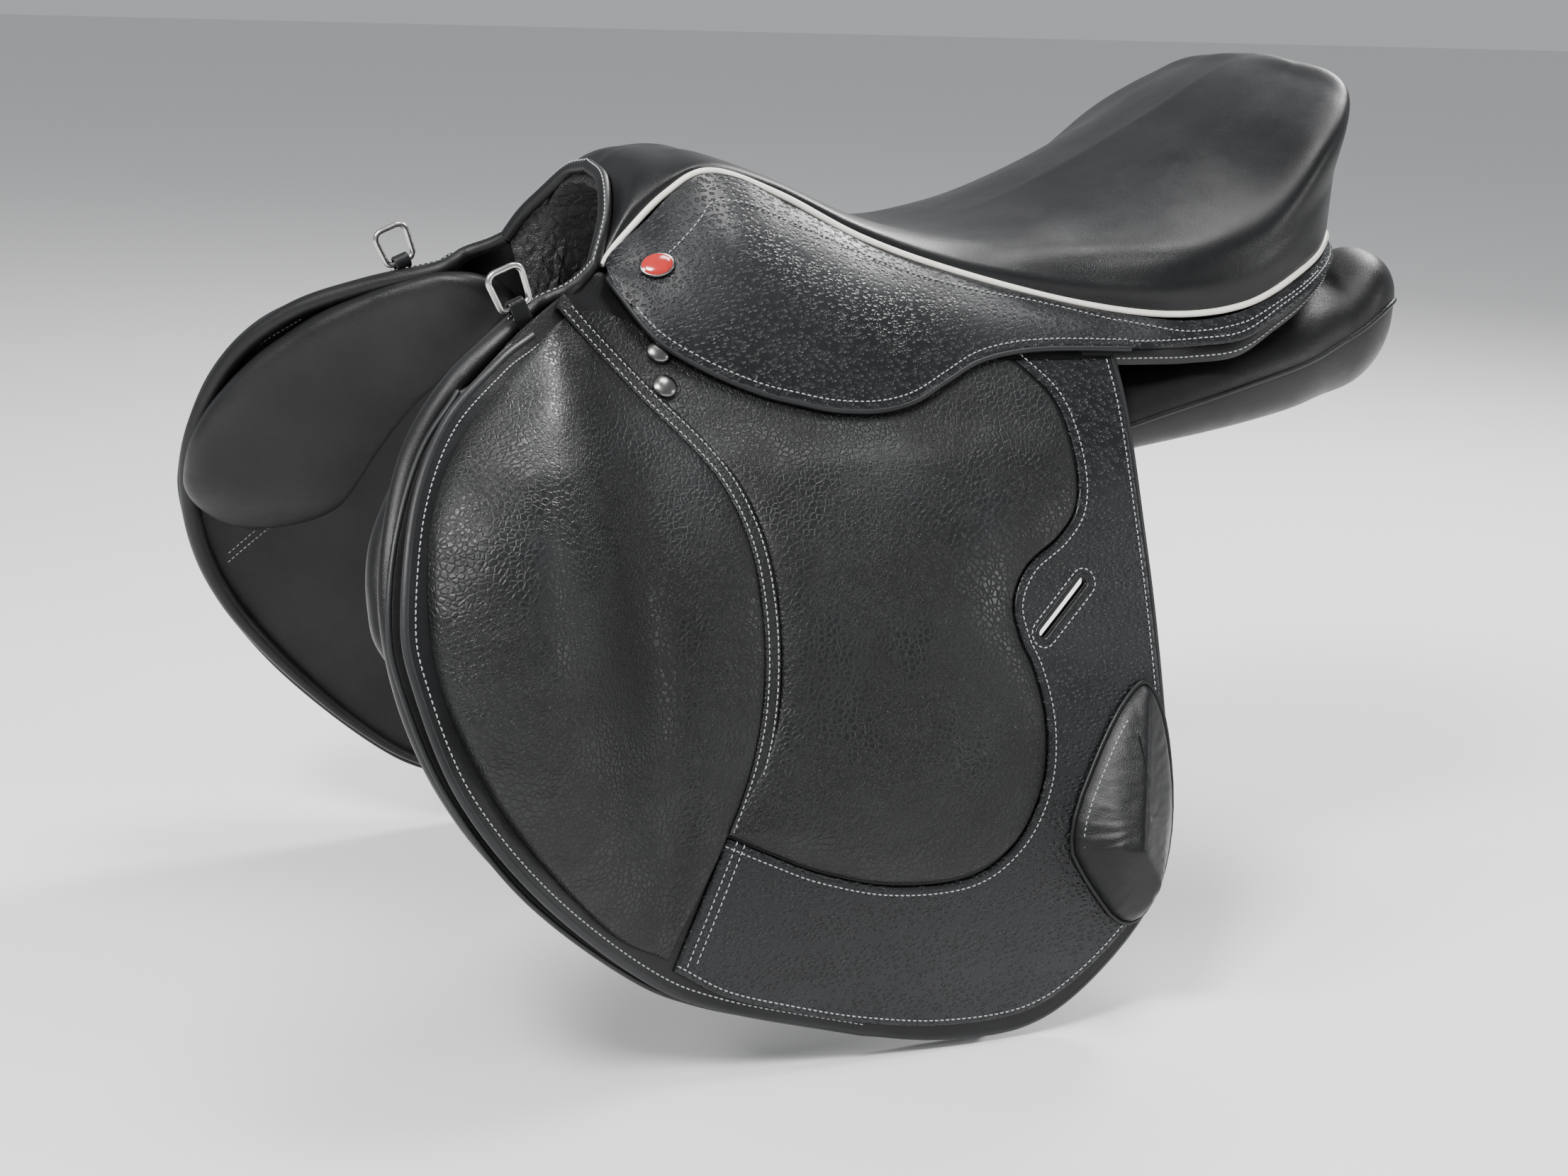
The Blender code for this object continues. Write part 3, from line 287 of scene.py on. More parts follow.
def ring_normals(rings, middle):
    """Normals that point away from the rings' middles, with none on the two ends."""
    n = normals(rings)
    n *= np.sign((n * (rings - middle)).sum(2, keepdims=True) + 1e-9)
    n[0] = n[-1] = 0.0
    return n


def flap_line(x, z):
    """Distance of the flap's inner face from the centre plane at x, z."""
    top = smooth_step((z + 80) / 130)
    spread = 245 - 190 * np.exp((z - 120) / 200)
    waist = (-7 - 26 * hump(x, -190, 70) - 14 * hump(x, -70, 80)
             + 20 * smooth_step((x + 30) / 190))
    flare = 40 * smooth_step((-x - 190) / 150) * (0.35 + 0.65 * smooth_step((z + 330) / 150))
    return spread + top * waist + flare


def on_side(side, xz, lift):
    """Points over the flap's inner face at x, z, a distance lift further out."""
    x, z = xz[..., 0], xz[..., 1]
    return np.stack([x, side * (flap_line(x, z) + lift), z], axis=-1)


def side_normals(side, xz):
    x, z = xz[..., 0], xz[..., 1]
    slope_x = (flap_line(x + 4, z) - flap_line(x - 4, z)) / 8
    slope_z = (flap_line(x, z + 4) - flap_line(x, z - 4)) / 8
    return unit(np.stack([-slope_x, np.full_like(x, side), -slope_z], axis=-1))


def side_run(side, xz, lift):
    """Line over the flap's inner face, with its normals."""
    return on_side(side, xz, lift), side_normals(side, xz)


# ---------------------------------------------------------------- meshes

def linked(name, data):
    """New object that holds the data, in the scene."""
    item = bpy.data.objects.new(name, data)
    bpy.context.scene.collection.objects.link(item)
    return item


def build(name, verts, faces, look):
    bm = bmesh.new()
    knots = [bm.verts.new(Vector(p) * MM) for p in verts]
    for face in faces:
        corners = [knots[k] for k in dict.fromkeys(face)]
        if len(corners) > 2:
            bm.faces.new(corners)
    bmesh.ops.remove_doubles(bm, verts=bm.verts, dist=0.02 * MM)
    bmesh.ops.dissolve_degenerate(bm, edges=bm.edges, dist=0.01 * MM)
    bmesh.ops.recalc_face_normals(bm, faces=bm.faces)
    if bm.calc_volume(signed=True) < 0:
        bmesh.ops.reverse_faces(bm, faces=bm.faces)
    mesh = bpy.data.meshes.new(name)
    bm.to_mesh(mesh)
    bm.free()
    mesh.shade_smooth()
    mesh.set_sharp_from_angle(angle=math.radians(50))
    mesh.materials.append(LOOK[look])
    return linked(name, mesh)


def grid_faces(rows, cols, start=0, wrap=False, flip=False):
    faces = []
    for i in range(rows - 1):
        for j in range(cols if wrap else cols - 1):
            k = (j + 1) % cols
            a, b = start + i * cols, start + (i + 1) * cols
            face = (a + j, a + k, b + k, b + j)
            faces.append(face[::-1] if flip else face)
    return faces


def shell(name, outer, inner, look, meets=False):
    """Closed piece between two grids; meets: the last row folds onto itself, with no end."""
    rows, cols = outer.shape[:2]
    size = rows * cols
    verts = np.vstack([outer.reshape(-1, 3), inner.reshape(-1, 3)])
    faces = grid_faces(rows, cols) + grid_faces(rows, cols, size, flip=True)
    borders = [range(cols), range(0, size, cols), range(cols - 1, size, cols)]
    if not meets:
        borders.append(range(size - cols, size))
    for line in borders:
        for a, b in zip(line, line[1:]):
            faces.append((a, b, b + size, a + size))
    return build(name, verts, faces, look)


def side_shell(name, side, xz, high, low, look):
    """Closed piece between two heights over the flap's inner face."""
    return shell(name, on_side(side, xz, high), on_side(side, xz, low), look)


def lofted(name, rings, look):
    """Closed piece through rings, each a closed loop of points, capped at both ends."""
    rings = np.asarray(rings)
    rows, cols = rings.shape[:2]
    faces = grid_faces(rows, cols, wrap=True)
    faces.append(tuple(range(cols)))
    faces.append(tuple(range((rows - 1) * cols, rows * cols))[::-1])
    return build(name, rings.reshape(-1, 3), faces, look)


def tube(name, line, radius, look, up=None, flat=1.0, sides=12, closed=False):
    """Rope of round or flattened section along a line of points."""
    line = np.asarray(line, float)
    if closed:
        line = np.vstack([line, line[:1]])
    ahead = np.gradient(line, axis=0)
    if closed:
        ahead[0] = ahead[-1] = line[1] - line[-2]
    ahead = unit(ahead)
    if up is None:
        steep = closed | (np.abs(ahead[:, 2:]) > 0.95)
        up = np.where(steep, (0.0, 1.0, 0.0), (0.0, 0.0, 1.0))
    elif closed:
        up = np.vstack([up, up[:1]])
    across = unit(np.cross(ahead, up))
    over = np.cross(across, ahead) * flat
    turn = circle(sides)[None, :, None]
    size = np.resize(np.asarray(radius, float), len(line))[:, None, None]
    rings = line[:, None] + size * (across[:, None] * np.cos(turn) + over[:, None] * np.sin(turn))
    if not closed:
        return lofted(name, rings, look)
    return build(name, rings.reshape(-1, 3), grid_faces(*rings.shape[:2], wrap=True), look)


def stitches(name, runs):
    """One mesh of separate thread loops along runs of (points, normals)."""
    verts, faces = [], []
    turn = circle(6)
    for line, up in runs:
        at = lengths(line)
        count = max(int(at[-1] / STITCH_SPACING), 1)
        centres = (np.arange(count) + 0.5) * at[-1] / count
        back, front = (sampled(line, at, centres + end * STITCH_LENGTH / 2) for end in (-1, 1))
        ahead = unit(front - back)
        across = unit(np.cross(ahead, sampled(up, at, centres)))
        for c, t, side in zip(sampled(line, at, centres), ahead, across):
            n = np.cross(side, t)
            start = len(verts)
            for place, rise, thick in STITCH_LOOP:
                middle = c + t * place * STITCH_LENGTH + n * rise
                radius = thick * STITCH_WIDTH
                verts += [middle + (side * math.cos(q) + n * math.sin(q) * 0.75) * radius
                          for q in turn]
            faces += grid_faces(5, 6, start, wrap=True)
            faces.append(tuple(range(start, start + 6)))
            faces.append(tuple(range(start + 24, start + 30))[::-1])
    mesh = bpy.data.meshes.new(name)
    mesh.from_pydata([tuple(v * MM) for v in verts], [], faces)
    mesh.shade_smooth()
    mesh.materials.append(LOOK["thread"])
    return linked(name, mesh)


def turned(name, profile, at, axis, look, stretch=1.0, segments=40):
    """Turned piece: profile of radius and height, closed on its axis."""
    ahead = unit(np.array([1.0, 0.0, 0.0]) - axis * axis[0])
    across = np.cross(axis, ahead)
    rings = [[at + (ahead * stretch * math.cos(q) + across * math.sin(q)) * max(r, 0.02) + axis * h
              for q in circle(segments)] for r, h in profile]
    return lofted(name, rings, look)


def cut(item, outline):
    """Cut an x, z outline out of a piece."""
    cutter = lofted("cutter", [[(x, y, z) for x, z in outline] for y in (-320, 320)], "calf")
    mod = item.modifiers.new("cut", "BOOLEAN")
    mod.operation = "DIFFERENCE"
    mod.solver = "EXACT"
    mod.object = cutter
    shape = item.evaluated_get(bpy.context.evaluated_depsgraph_get())
    mesh = bpy.data.meshes.new_from_object(shape)
    item.modifiers.clear()
    item.data = mesh
    bpy.data.objects.remove(cutter, do_unlink=True)


def placed(item, body, slot, *nodes):
    """Put a finished piece on one body."""
    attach(item, body)
    labelled(item, slot, *nodes)


def labelled(item, slot, *nodes):
    """Hide the CAD nodes that a finished piece stands for; its slot is not used."""
    if nodes:
        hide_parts(*nodes)


def bent(item, bodies, ends, slot, *nodes):
    """Bake a finished piece's transform and hide the CAD nodes it stands for; the bodies and the
    two points are not used.
    """
    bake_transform(item)
    labelled(item, slot, *nodes)


def padded(item, fill, body, slot, *nodes):
    placed(item, body, slot, *nodes)


def sewn(name, runs, body="root"):
    """Stitching that rides one body."""
    placed(stitches(name, runs), body, "cream_piping")


def fold(side, low=4.0, high=4.0):
    """Points just above and below the fold line, square to it."""
    line = Vector((FOLD_REAR[0] - FOLD_FRONT[0], side * (FOLD_REAR[1] - FOLD_FRONT[1]),
                   FOLD_REAR[2] - FOLD_FRONT[2])).normalized()
    down = Vector((0, 0, -1))
    down = (down - line * down.dot(line)).normalized()
    start = Vector((FOLD_FRONT[0], side * FOLD_FRONT[1], FOLD_FRONT[2]))
    return tuple((start - down * high) * MM), tuple((start + down * low) * MM)


# ---------------------------------------------------------------- materials

class Graph:
    """Short way to write a material's nodes."""

    def __init__(self, name):
        self.mat = bpy.data.materials.new(name)
        self.mat.use_nodes = True
        self.tree = self.mat.node_tree
        self.shader = self.tree.nodes["Principled BSDF"]
        self.place = self.add("ShaderNodeTexCoord").outputs["Object"]

    def add(self, kind, **values):
        node = self.tree.nodes.new(kind)
        for key, value in values.items():
            setattr(node, key, value)
        return node

    def put(self, socket, value):
        if isinstance(value, bpy.types.NodeSocket):
            self.tree.links.new(value, socket)
        else:
            socket.default_value = value

    def put_colour(self, socket, value):
        self.put(socket, value if isinstance(value, bpy.types.NodeSocket) else (*value, 1.0))

    def noise(self, scale, detail=3.0, rough=0.5, where=None):
        node = self.add("ShaderNodeTexNoise")
        self.put(node.inputs["Vector"], where or self.place)
        self.put(node.inputs["Scale"], scale)
        self.put(node.inputs["Detail"], detail)
        self.put(node.inputs["Roughness"], rough)
        return node.outputs["Fac"]

    def cells(self, scale, feature="DISTANCE_TO_EDGE", where=None, jitter=1.0):
        node = self.add("ShaderNodeTexVoronoi", feature=feature)
        self.put(node.inputs["Vector"], where or self.place)
        self.put(node.inputs["Scale"], scale)
        self.put(node.inputs["Randomness"], jitter)
        return node.outputs["Distance"]

    def math(self, kind, a, b):
        node = self.add("ShaderNodeMath", operation=kind)
        self.put(node.inputs[0], a)
        self.put(node.inputs[1], b)
        return node.outputs[0]

    def total(self, *parts):
        """Sum of pairs of value and weight."""
        terms = [self.math("MULTIPLY", *part) if part[1] != 1.0 else part[0] for part in parts]
        result = terms[0]
        for term in terms[1:]:
            result = self.math("ADD", result, term)
        return result

    def ramp(self, value, low, high, out_low=0.0, out_high=1.0):
        node = self.add("ShaderNodeMapRange", interpolation_type="SMOOTHSTEP")
        for key, item in (("Value", value), ("From Min", low), ("From Max", high),
                          ("To Min", out_low), ("To Max", out_high)):
            self.put(node.inputs[key], item)
        return node.outputs["Result"]

    def blend(self, fac, a, b):
        node = self.add("ShaderNodeMix", data_type="RGBA")
        self.put(node.inputs["Factor"], fac)
        self.put_colour(node.inputs[6], a)
        self.put_colour(node.inputs[7], b)
        return node.outputs[2]

    def warped(self, scale, amount):
        """Coordinates pushed about by noise, so that cells lose their straight edges."""
        node = self.add("ShaderNodeTexNoise")
        self.put(node.inputs["Vector"], self.place)
        self.put(node.inputs["Scale"], scale)
        push = self.add("ShaderNodeVectorMath", operation="SUBTRACT")
        self.put(push.inputs[0], node.outputs["Color"])
        push.inputs[1].default_value = (0.5, 0.5, 0.5)
        size = self.add("ShaderNodeVectorMath", operation="SCALE")
        self.put(size.inputs[0], push.outputs[0])
        size.inputs["Scale"].default_value = amount
        total = self.add("ShaderNodeVectorMath", operation="ADD")
        self.put(total.inputs[0], self.place)
        self.put(total.inputs[1], size.outputs[0])
        return total.outputs[0]

    def stretched(self, scale, where=None, turn=(0.0, 0.0, 0.0)):
        node = self.add("ShaderNodeMapping")
        self.put(node.inputs["Vector"], where or self.place)
        node.inputs["Scale"].default_value = scale
        node.inputs["Rotation"].default_value = turn
        return node.outputs[0]

    def wave(self, direction, scale, distortion=0.0):
        node = self.add("ShaderNodeTexWave", wave_type="BANDS", bands_direction=direction)
        self.put(node.inputs["Vector"], self.place)
        self.put(node.inputs["Scale"], scale)
        self.put(node.inputs["Distortion"], distortion)
        return node.outputs["Fac"]

    def finish(self, colour, rough, height=None, relief=0.3, metal=0.0, level=0.5, coat=0.0):
        s = self.shader
        self.put_colour(s.inputs["Base Color"], colour)
        self.put(s.inputs["Roughness"], rough)
        s.inputs["Metallic"].default_value = metal
        s.inputs["Specular IOR Level"].default_value = level
        if coat:
            s.inputs["Coat Weight"].default_value = coat
            s.inputs["Coat Roughness"].default_value = 0.12
        if height is not None:
            bump = self.add("ShaderNodeBump")
            bump.inputs["Strength"].default_value = 1.0
            bump.inputs["Distance"].default_value = relief * MM
            self.put(bump.inputs["Height"], height)
            self.put(s.inputs["Normal"], bump.outputs[0])
        return self.mat


def scaled(colour, share):
    return tuple(c * share for c in colour)


def calf_leather(name, colour, rough, grain=1.2, relief=0.05, creases=0.5):
    """Smooth leather: faint pores, soft creases and slightly uneven dye."""
    g = Graph(name)
    pores = g.ramp(g.cells(1000 / grain, where=g.warped(500, 0.0006)), 0.0, 0.22)
    fine = g.noise(1700, 4, 0.6)
    soft = g.noise(38, 4, 0.55, g.stretched((1.0, 0.6, 2.2)))
    height = g.total((pores, 0.5), (fine, 0.6), (soft, 6.0 * creases))
    tone = g.blend(g.ramp(g.noise(14, 4, 0.6), 0.3, 0.7), scaled(colour, 0.72), scaled(colour, 1.5))
    dull = g.ramp(g.noise(22, 5, 0.65), 0.3, 0.7, rough - 0.05, rough + 0.07)
    return g.finish(tone, g.total((dull, 1.0), (fine, 0.04)), height, relief, level=0.30)


def pebbled_leather(name, colour, rough, grain, relief):
    """Soft grain leather: smooth pebbles of two sizes with thin creases between them."""
    g = Graph(name)
    where = g.warped(150, 0.0012)
    big = g.ramp(g.cells(1000 / grain, where=where), 0.0, 0.20)
    small = g.ramp(g.cells(1900 / grain, where=where), 0.0, 0.13)
    mask = g.ramp(g.noise(30, 2), 0.42, 0.60)
    pebble = g.math("MULTIPLY", big, g.math("MAXIMUM", small, mask))
    folds = g.noise(60, 4, 0.5, g.stretched((1.0, 1.0, 2.6)))
    height = g.total((pebble, 1.0), (folds, 1.6), (g.noise(1500, 3), 0.15))
    # Painted shade: the creases between the pebbles are darkened to a fifth of the leather's
    # colour.
    tone = g.blend(pebble, scaled(colour, 0.20), colour)
    tone = g.blend(g.ramp(g.noise(16, 4, 0.6), 0.35, 0.75), tone, scaled(colour, 1.5))
    dull = g.ramp(g.noise(26, 4), 0.3, 0.7, rough + 0.18, rough + 0.27)
    return g.finish(tone, g.total((dull, 1.0), (pebble, -0.20)), height, relief, level=0.36)


def printed_leather(name, colour, rough):
    """Pigskin print: short pits in rows over a fine pebble."""
    g = Graph(name)
    where = g.warped(120, 0.0014)
    rows = g.stretched((0.75, 1.0, 1.35), where, (0.0, 0.35, 0.0))
    pits = g.ramp(g.cells(310, "F1", rows, 0.6), 0.24, 0.42)
    dots = g.ramp(g.cells(560, "F1", where, 0.9), 0.24, 0.40)
    groups = g.ramp(g.noise(150, 2), 0.46, 0.56)
    holes = g.math("MULTIPLY", pits, g.math("MAXIMUM", dots, groups))
    height = g.total((holes, 1.0), (g.noise(420, 3), 0.35), (g.noise(1600, 3), 0.12))
    # Painted shade: the pits are darkened to a tenth of the leather's colour.
    tone = g.blend(holes, scaled(colour, 0.10), colour)
    tone = g.blend(g.ramp(g.noise(12, 4, 0.6), 0.35, 0.75), tone, scaled(colour, 1.45))
    dull = g.ramp(g.noise(30, 4), 0.3, 0.7, rough + 0.24, rough + 0.33)
    return g.finish(tone, g.total((dull, 1.0), (holes, -0.25)), height, 0.40, level=0.44)


def wrinkled_leather(name, colour, rough):
    g = Graph(name)
    where = g.warped(90, 0.006)
    folds = g.ramp(g.cells(150, where=where), 0.0, 0.35)
    fine = g.ramp(g.cells(700, where=where), 0.0, 0.3)
    # Painted shade: the creases of the folds are darkened to 0.4 of the leather's colour.
    tone = g.blend(folds, scaled(colour, 0.4), colour)
    dull = g.ramp(g.noise(40), 0.3, 0.7, rough, rough + 0.12)
    return g.finish(tone, dull, g.total((folds, 2.4), (fine, 0.6)), 0.25)


def thread(name, colour):
    """Waxed thread with a fine twist."""
    g = Graph(name)
    twist = g.wave("DIAGONAL", 900)
    # Painted shade: the twist's grooves are darkened to 0.8 of the thread's colour.
    return g.finish(g.blend(twist, scaled(colour, 0.8), colour), 0.55, twist, 0.06)


def piping(name, colour):
    g = Graph(name)
    fine = g.noise(900, 4, 0.6)
    soiled = tuple(c * k for c, k in zip(colour, (0.80, 0.76, 0.68)))
    tone = g.blend(g.ramp(g.noise(45, 4, 0.7), 0.45, 0.8), colour, soiled)
    return g.finish(tone, 0.42, fine, 0.05)


def metal(name, colour, rough, scratch=0.1):
    g = Graph(name)
    marks = g.noise(900, 4, 0.7, g.stretched((1.0, 6.0, 1.0)))
    tone = g.blend(g.ramp(g.noise(60, 3), 0.3, 0.8), colour, scaled(colour, 0.78))
    dull = g.ramp(g.noise(120, 5, 0.6), 0.25, 0.75, rough - scratch / 2, rough + scratch)
    return g.finish(tone, dull, marks, 0.012, metal=1.0)


def enamel(name, colour):
    g = Graph(name)
    tone = g.blend(g.ramp(g.noise(180, 3), 0.3, 0.8), colour, scaled(colour, 0.8))
    return g.finish(tone, g.ramp(g.noise(400, 3), 0.3, 0.7, 0.10, 0.17), coat=1.0)


def timber(name, colour):
    """Laminated beech: thin plies and pores along the grain."""
    g = Graph(name)
    pores = g.noise(420, 4, 0.6, g.stretched((0.08, 1.0, 1.0)))
    tone = g.blend(g.wave("Z", 140, 1.5), colour, scaled(colour, 0.62))
    tone = g.blend(g.ramp(pores, 0.55, 0.7), tone, scaled(colour, 0.5))
    return g.finish(tone, g.ramp(pores, 0.3, 0.7, 0.5, 0.68), pores, 0.1)


def woven(name, colour):
    """Flat webbing: a plain weave of coarse yarns."""
    g = Graph(name)
    height = g.math("MULTIPLY", g.wave("X", 230, 0.6), g.wave("Y", 230, 0.6))
    # Painted shade: the gaps between the yarns are darkened to 0.55 of the webbing's colour.
    return g.finish(g.blend(height, scaled(colour, 0.55), colour), 0.85, height, 0.35)


LOOK = {
    "seat": calf_leather("seat_leather", (0.0050, 0.0052, 0.0056), 0.34, 1.0, 0.06, 0.6),
    "calf": calf_leather("calf_leather", (0.0056, 0.0058, 0.0062), 0.34, 1.1, 0.07, 0.8),
    "roll": calf_leather("panel_leather", (0.0056, 0.0057, 0.0060), 0.38, 1.1, 0.07, 0.9),
    # Painted highlight: the rolled edges get a lighter grey leather, about twice as bright as the
    # calf, in place of their highlight.
    "edge": calf_leather("edge_highlight_leather", (0.0120, 0.0124, 0.0132), 0.38, 0.9, 0.05, 0.3),
    "grained": pebbled_leather("grained_leather", (0.0050, 0.0053, 0.0056), 0.33, 3.1, 0.20),
    # Painted sheen: the bluish tint of this near-black stands in for the print's bluish-grey sheen.
    "print": printed_leather("printed_leather", (0.0040, 0.0044, 0.0054), 0.29),
    "lining": calf_leather("lining_leather", (0.0062, 0.0063, 0.0066), 0.42, 0.9, 0.07, 0.4),
    "gullet": wrinkled_leather("gullet_leather", (0.0060, 0.0058, 0.0056), 0.42),
    "thread": thread("stitching_thread", (0.42, 0.43, 0.44)),
    "piping": piping("cream_piping_leather", (0.80, 0.78, 0.71)),
    "nickel": metal("satin_nickel", (0.56, 0.55, 0.53), 0.26),
    "gunmetal": metal("dark_nickel", (0.20, 0.195, 0.19), 0.22),
    "steel": metal("brushed_steel", (0.42, 0.43, 0.45), 0.32, 0.16),
    "badge": enamel("red_enamel", (0.42, 0.016, 0.014)),
    "beech": timber("stained_beech", (0.050, 0.030, 0.018)),
    "web": woven("flat_webbing", (0.050, 0.047, 0.043)),
}


# ---------------------------------------------------------------- seat

def mirrored_end(points):
    """Add the last point but one again on the off side, so that a curve crosses squarely."""
    return list(points) + [tuple(np.array(points[-2], float) * (1, -1, 1))]


def seat_rows(count):
    """Knots from the welt to the spine at count stations from the pommel to the cantle."""
    part = (len(SEAT_ROWS) - 1) / len(SEAT_ROWS)
    return np.stack([spline(mirrored_end([row[k] for row in SEAT_ROWS]),
                            np.linspace(0, part, count)) for k in range(5)], axis=1)


def seat():
    rows, cols = 140, 56
    knots = seat_rows(rows)
    lift = unit(knots[:, 1] - knots[:, 0])
    knots[:, 0] += lift * 0.8
    half = np.stack([curve(k, cols) for k in knots])
    half[:, -1, 1] = half[-1, :, 1] = 0.0
    grid = np.concatenate([half * (1, -1, 1), half[:, -2::-1]], axis=1)
    n = normals(np.concatenate([grid, grid[-2:-3:-1, ::-1]]))[:-1]
    n *= np.sign(n[rows // 2, cols - 1, 2])
    tuck = rim_distance(grid, "lr")
    soft = ripple(grid, 70.0) * 0.35 + ripple(grid, 18.0, 3.1) * 0.10
    soft *= smooth_step((265 - grid[..., 0]) / 30)
    outer = grid + n * (soft * smooth_step(tuck / 18.0))[..., None]
    outer -= n * (0.9 * (1 - rolled(tuck, 2.2)))[..., None]
    inner = grid - n * SEAT_LEATHER
    inner[-1, :, 1] = outer[-1, :, 1] = 0.0
    padded(shell("seat_leather", outer, inner, "seat", meets=True), 0.9,
           "root", "calf_leather", "seat_cover", "seat_foam")

    half = seat_rows(150)[:, 0]
    line = resample(np.vstack([half * (1, -1, 1), half[-2::-1]]), 3.0)
    placed(tube("seat_welt_piping", line, 1.9, "piping"), "root", "cream_piping", "seat_welt")


def arch_rim(count=60):
    """Line of the pommel arch's front edge, from the near foot to the off foot."""
    half = along(SEAT_ROWS[0], np.linspace(0, 1, count))
    return np.vstack([half * (1, -1, 1), half[-2::-1]])


def arch_binding():
    rim = arch_rim() + (-4.6, 0.0, -0.6)
    padded(tube("arch_binding_roll", rim, 3.8, "calf", sides=20), 0.8,
           "root", "calf_leather", "arch_binding")
    lean = np.sign(rim[:, 1]) * smooth_step(np.abs(rim[:, 1]) / 60)
    out = unit(np.column_stack([np.full(len(rim), -0.35), 0.9 * lean, np.full(len(rim), 1.0)]))
    sewn("arch_stitching", [(rim + out * 3.85, out)])


def gullet():
    """Leather from the arch's front edge, over the head of the tree and back under the seat."""
    path = [(0, 101), (22, 98), (37, 90), (49, 76), (55, 60), (56, 46), (58, 34)]
    half = along(path, np.linspace(0, 1, 60))
    line = np.vstack([half[::-1] * (-1, 1), half[1:]])
    lean = (line[:, 1] - 60) * 0.12
    out = np.column_stack([line[:, 0] / 60, np.clip((line[:, 1] - 40) / 60, 0, 1)])
    rows = [arch_rim() + (-2.5, 0.0, -1.5)]
    for x, spread in ((-181, 3.5), (-176, 1.2), (-168, 0.0), (-140, 0.0), (-112, -1.5)):
        rows.append(np.column_stack([x + lean, line + out * spread]))
    rows = np.stack(rows)
    grid = np.stack([curve(rows[:, k], 60) for k in range(rows.shape[1])], 1)
    n = normals(grid)
    n *= -np.sign(n[30, len(line) // 2, 2])
    soft = ripple(grid, 14.0, 1.7) * 0.8 + ripple(grid, 6.0, 4.0) * 0.3
    item = shell("gullet_leather", grid + n * (soft + 0.3)[..., None], grid - n * 0.6, "gullet")
    placed(item, "root", "lining_leather", "gullet_lining")


def head_cover(side, word):
    """Leather over the tree's foot, between the arch and the panel."""
    radius = 9.0
    line = along([(61, 70), (63, 52), (66, 36), (74, 18), (84, 2)], np.linspace(0, 1, 30))
    turn = np.radians(np.linspace(-90, 90, 14))
    rings = []
    for p, a in zip(line, left_of(line)):
        yz = p + a * (np.sin(turn) * radius)[:, None]
        x = -166 + (p[1] - 60) * 0.12 - np.cos(turn) * radius
        rings.append(np.column_stack([x, side * yz[:, 0], yz[:, 1]]))
    placed(lofted(f"{word}_head_cover", rings, "gullet"), "root", "lining_leather")


# ---------------------------------------------------------------- skirts

def skirt_station(t):
    """Points on the skirt's top and bottom edges."""
    tops = [top for top, _ in SKIRT_LOBE] + [top for top, _ in SKIRT_TAIL]
    lows = [(x, flap_line(x, z) + 11 + 4 * hump(x, -172, 25), z) for _, (x, z) in SKIRT_LOBE]
    return spline(tops, t), spline(lows + [low for _, low in SKIRT_TAIL], t)


def skirt_points(t, v):
    """Points of the skirt's outer face; t and v have the same shape."""
    shape = np.shape(t)
    t, v = np.ravel(t), np.ravel(v)
    top, low = skirt_station(t)
    down = low - top
    side = unit(np.cross((1.0, 0.0, 0.0), down))
    bulge = 0.08 * np.linalg.norm(down, axis=1) * np.sin(np.pi * v) * smooth_step((0.62 - t) / 0.08)
    return (top + down * v[:, None] + side * bulge[:, None]).reshape(*shape, 3)


def skirt_normals(t, v):
    ahead = skirt_points(np.minimum(t + 0.003, 1), v) - skirt_points(np.maximum(t - 0.003, 0), v)
    down = skirt_points(t, np.minimum(v + 0.02, 1)) - skirt_points(t, np.maximum(v - 0.02, 0))
    n = unit(np.cross(ahead, down))
    n[(n[..., 1] < 0) & (t < 0.9)] *= -1
    return n


def fold_height(x):
    share = (x - FOLD_FRONT[0]) / (FOLD_REAR[0] - FOLD_FRONT[0])
    return mix(FOLD_FRONT[2], FOLD_REAR[2], share)


def fold_share(t):
    """Share of the skirt's depth at which it crosses the fold line."""
    low, high = np.zeros_like(t), np.ones_like(t)
    for _ in range(30):
        v = (low + high) / 2
        p = skirt_points(t, v)
        above = p[..., 2] > fold_height(p[..., 0])
        low, high = np.where(above, v, low), np.where(above, high, v)
    return high


def skirt_surface(side, ts, v0, v1, cols):
    """Outer and inner grids for stations ts between shares v0 and v1."""
    v = v0[:, None] + (v1 - v0)[:, None] * np.linspace(0, 1, cols)[None]
    t = np.repeat(ts[:, None], cols, axis=1)
    grid, n = skirt_points(t, v), skirt_normals(t, v)
    gap = np.linalg.norm(grid - skirt_points(t, np.ones_like(v)), axis=2)
    half = n * SKIRT_HALF * rolled(gap, 2.0)[..., None]
    middle = grid - n * SKIRT_HALF
    flip = np.array((1, side, 1))
    return (middle + half) * flip, (middle - half) * flip


def skirt_run(side, ts, vs, lift=0.0):
    """Line on the skirt's outer face with its normals."""
    ts, vs = np.asarray(ts, float), np.asarray(vs, float)
    n = skirt_normals(ts, vs)
    flip = np.array((1, side, 1))
    return (skirt_points(ts, vs) + n * lift) * flip, n * flip


def depth_share(ts, millimetres, from_top=True):
    top, low = skirt_station(ts)
    share = millimetres / np.maximum(np.linalg.norm(low - top, axis=1), 5.0)
    return share if from_top else 1 - share


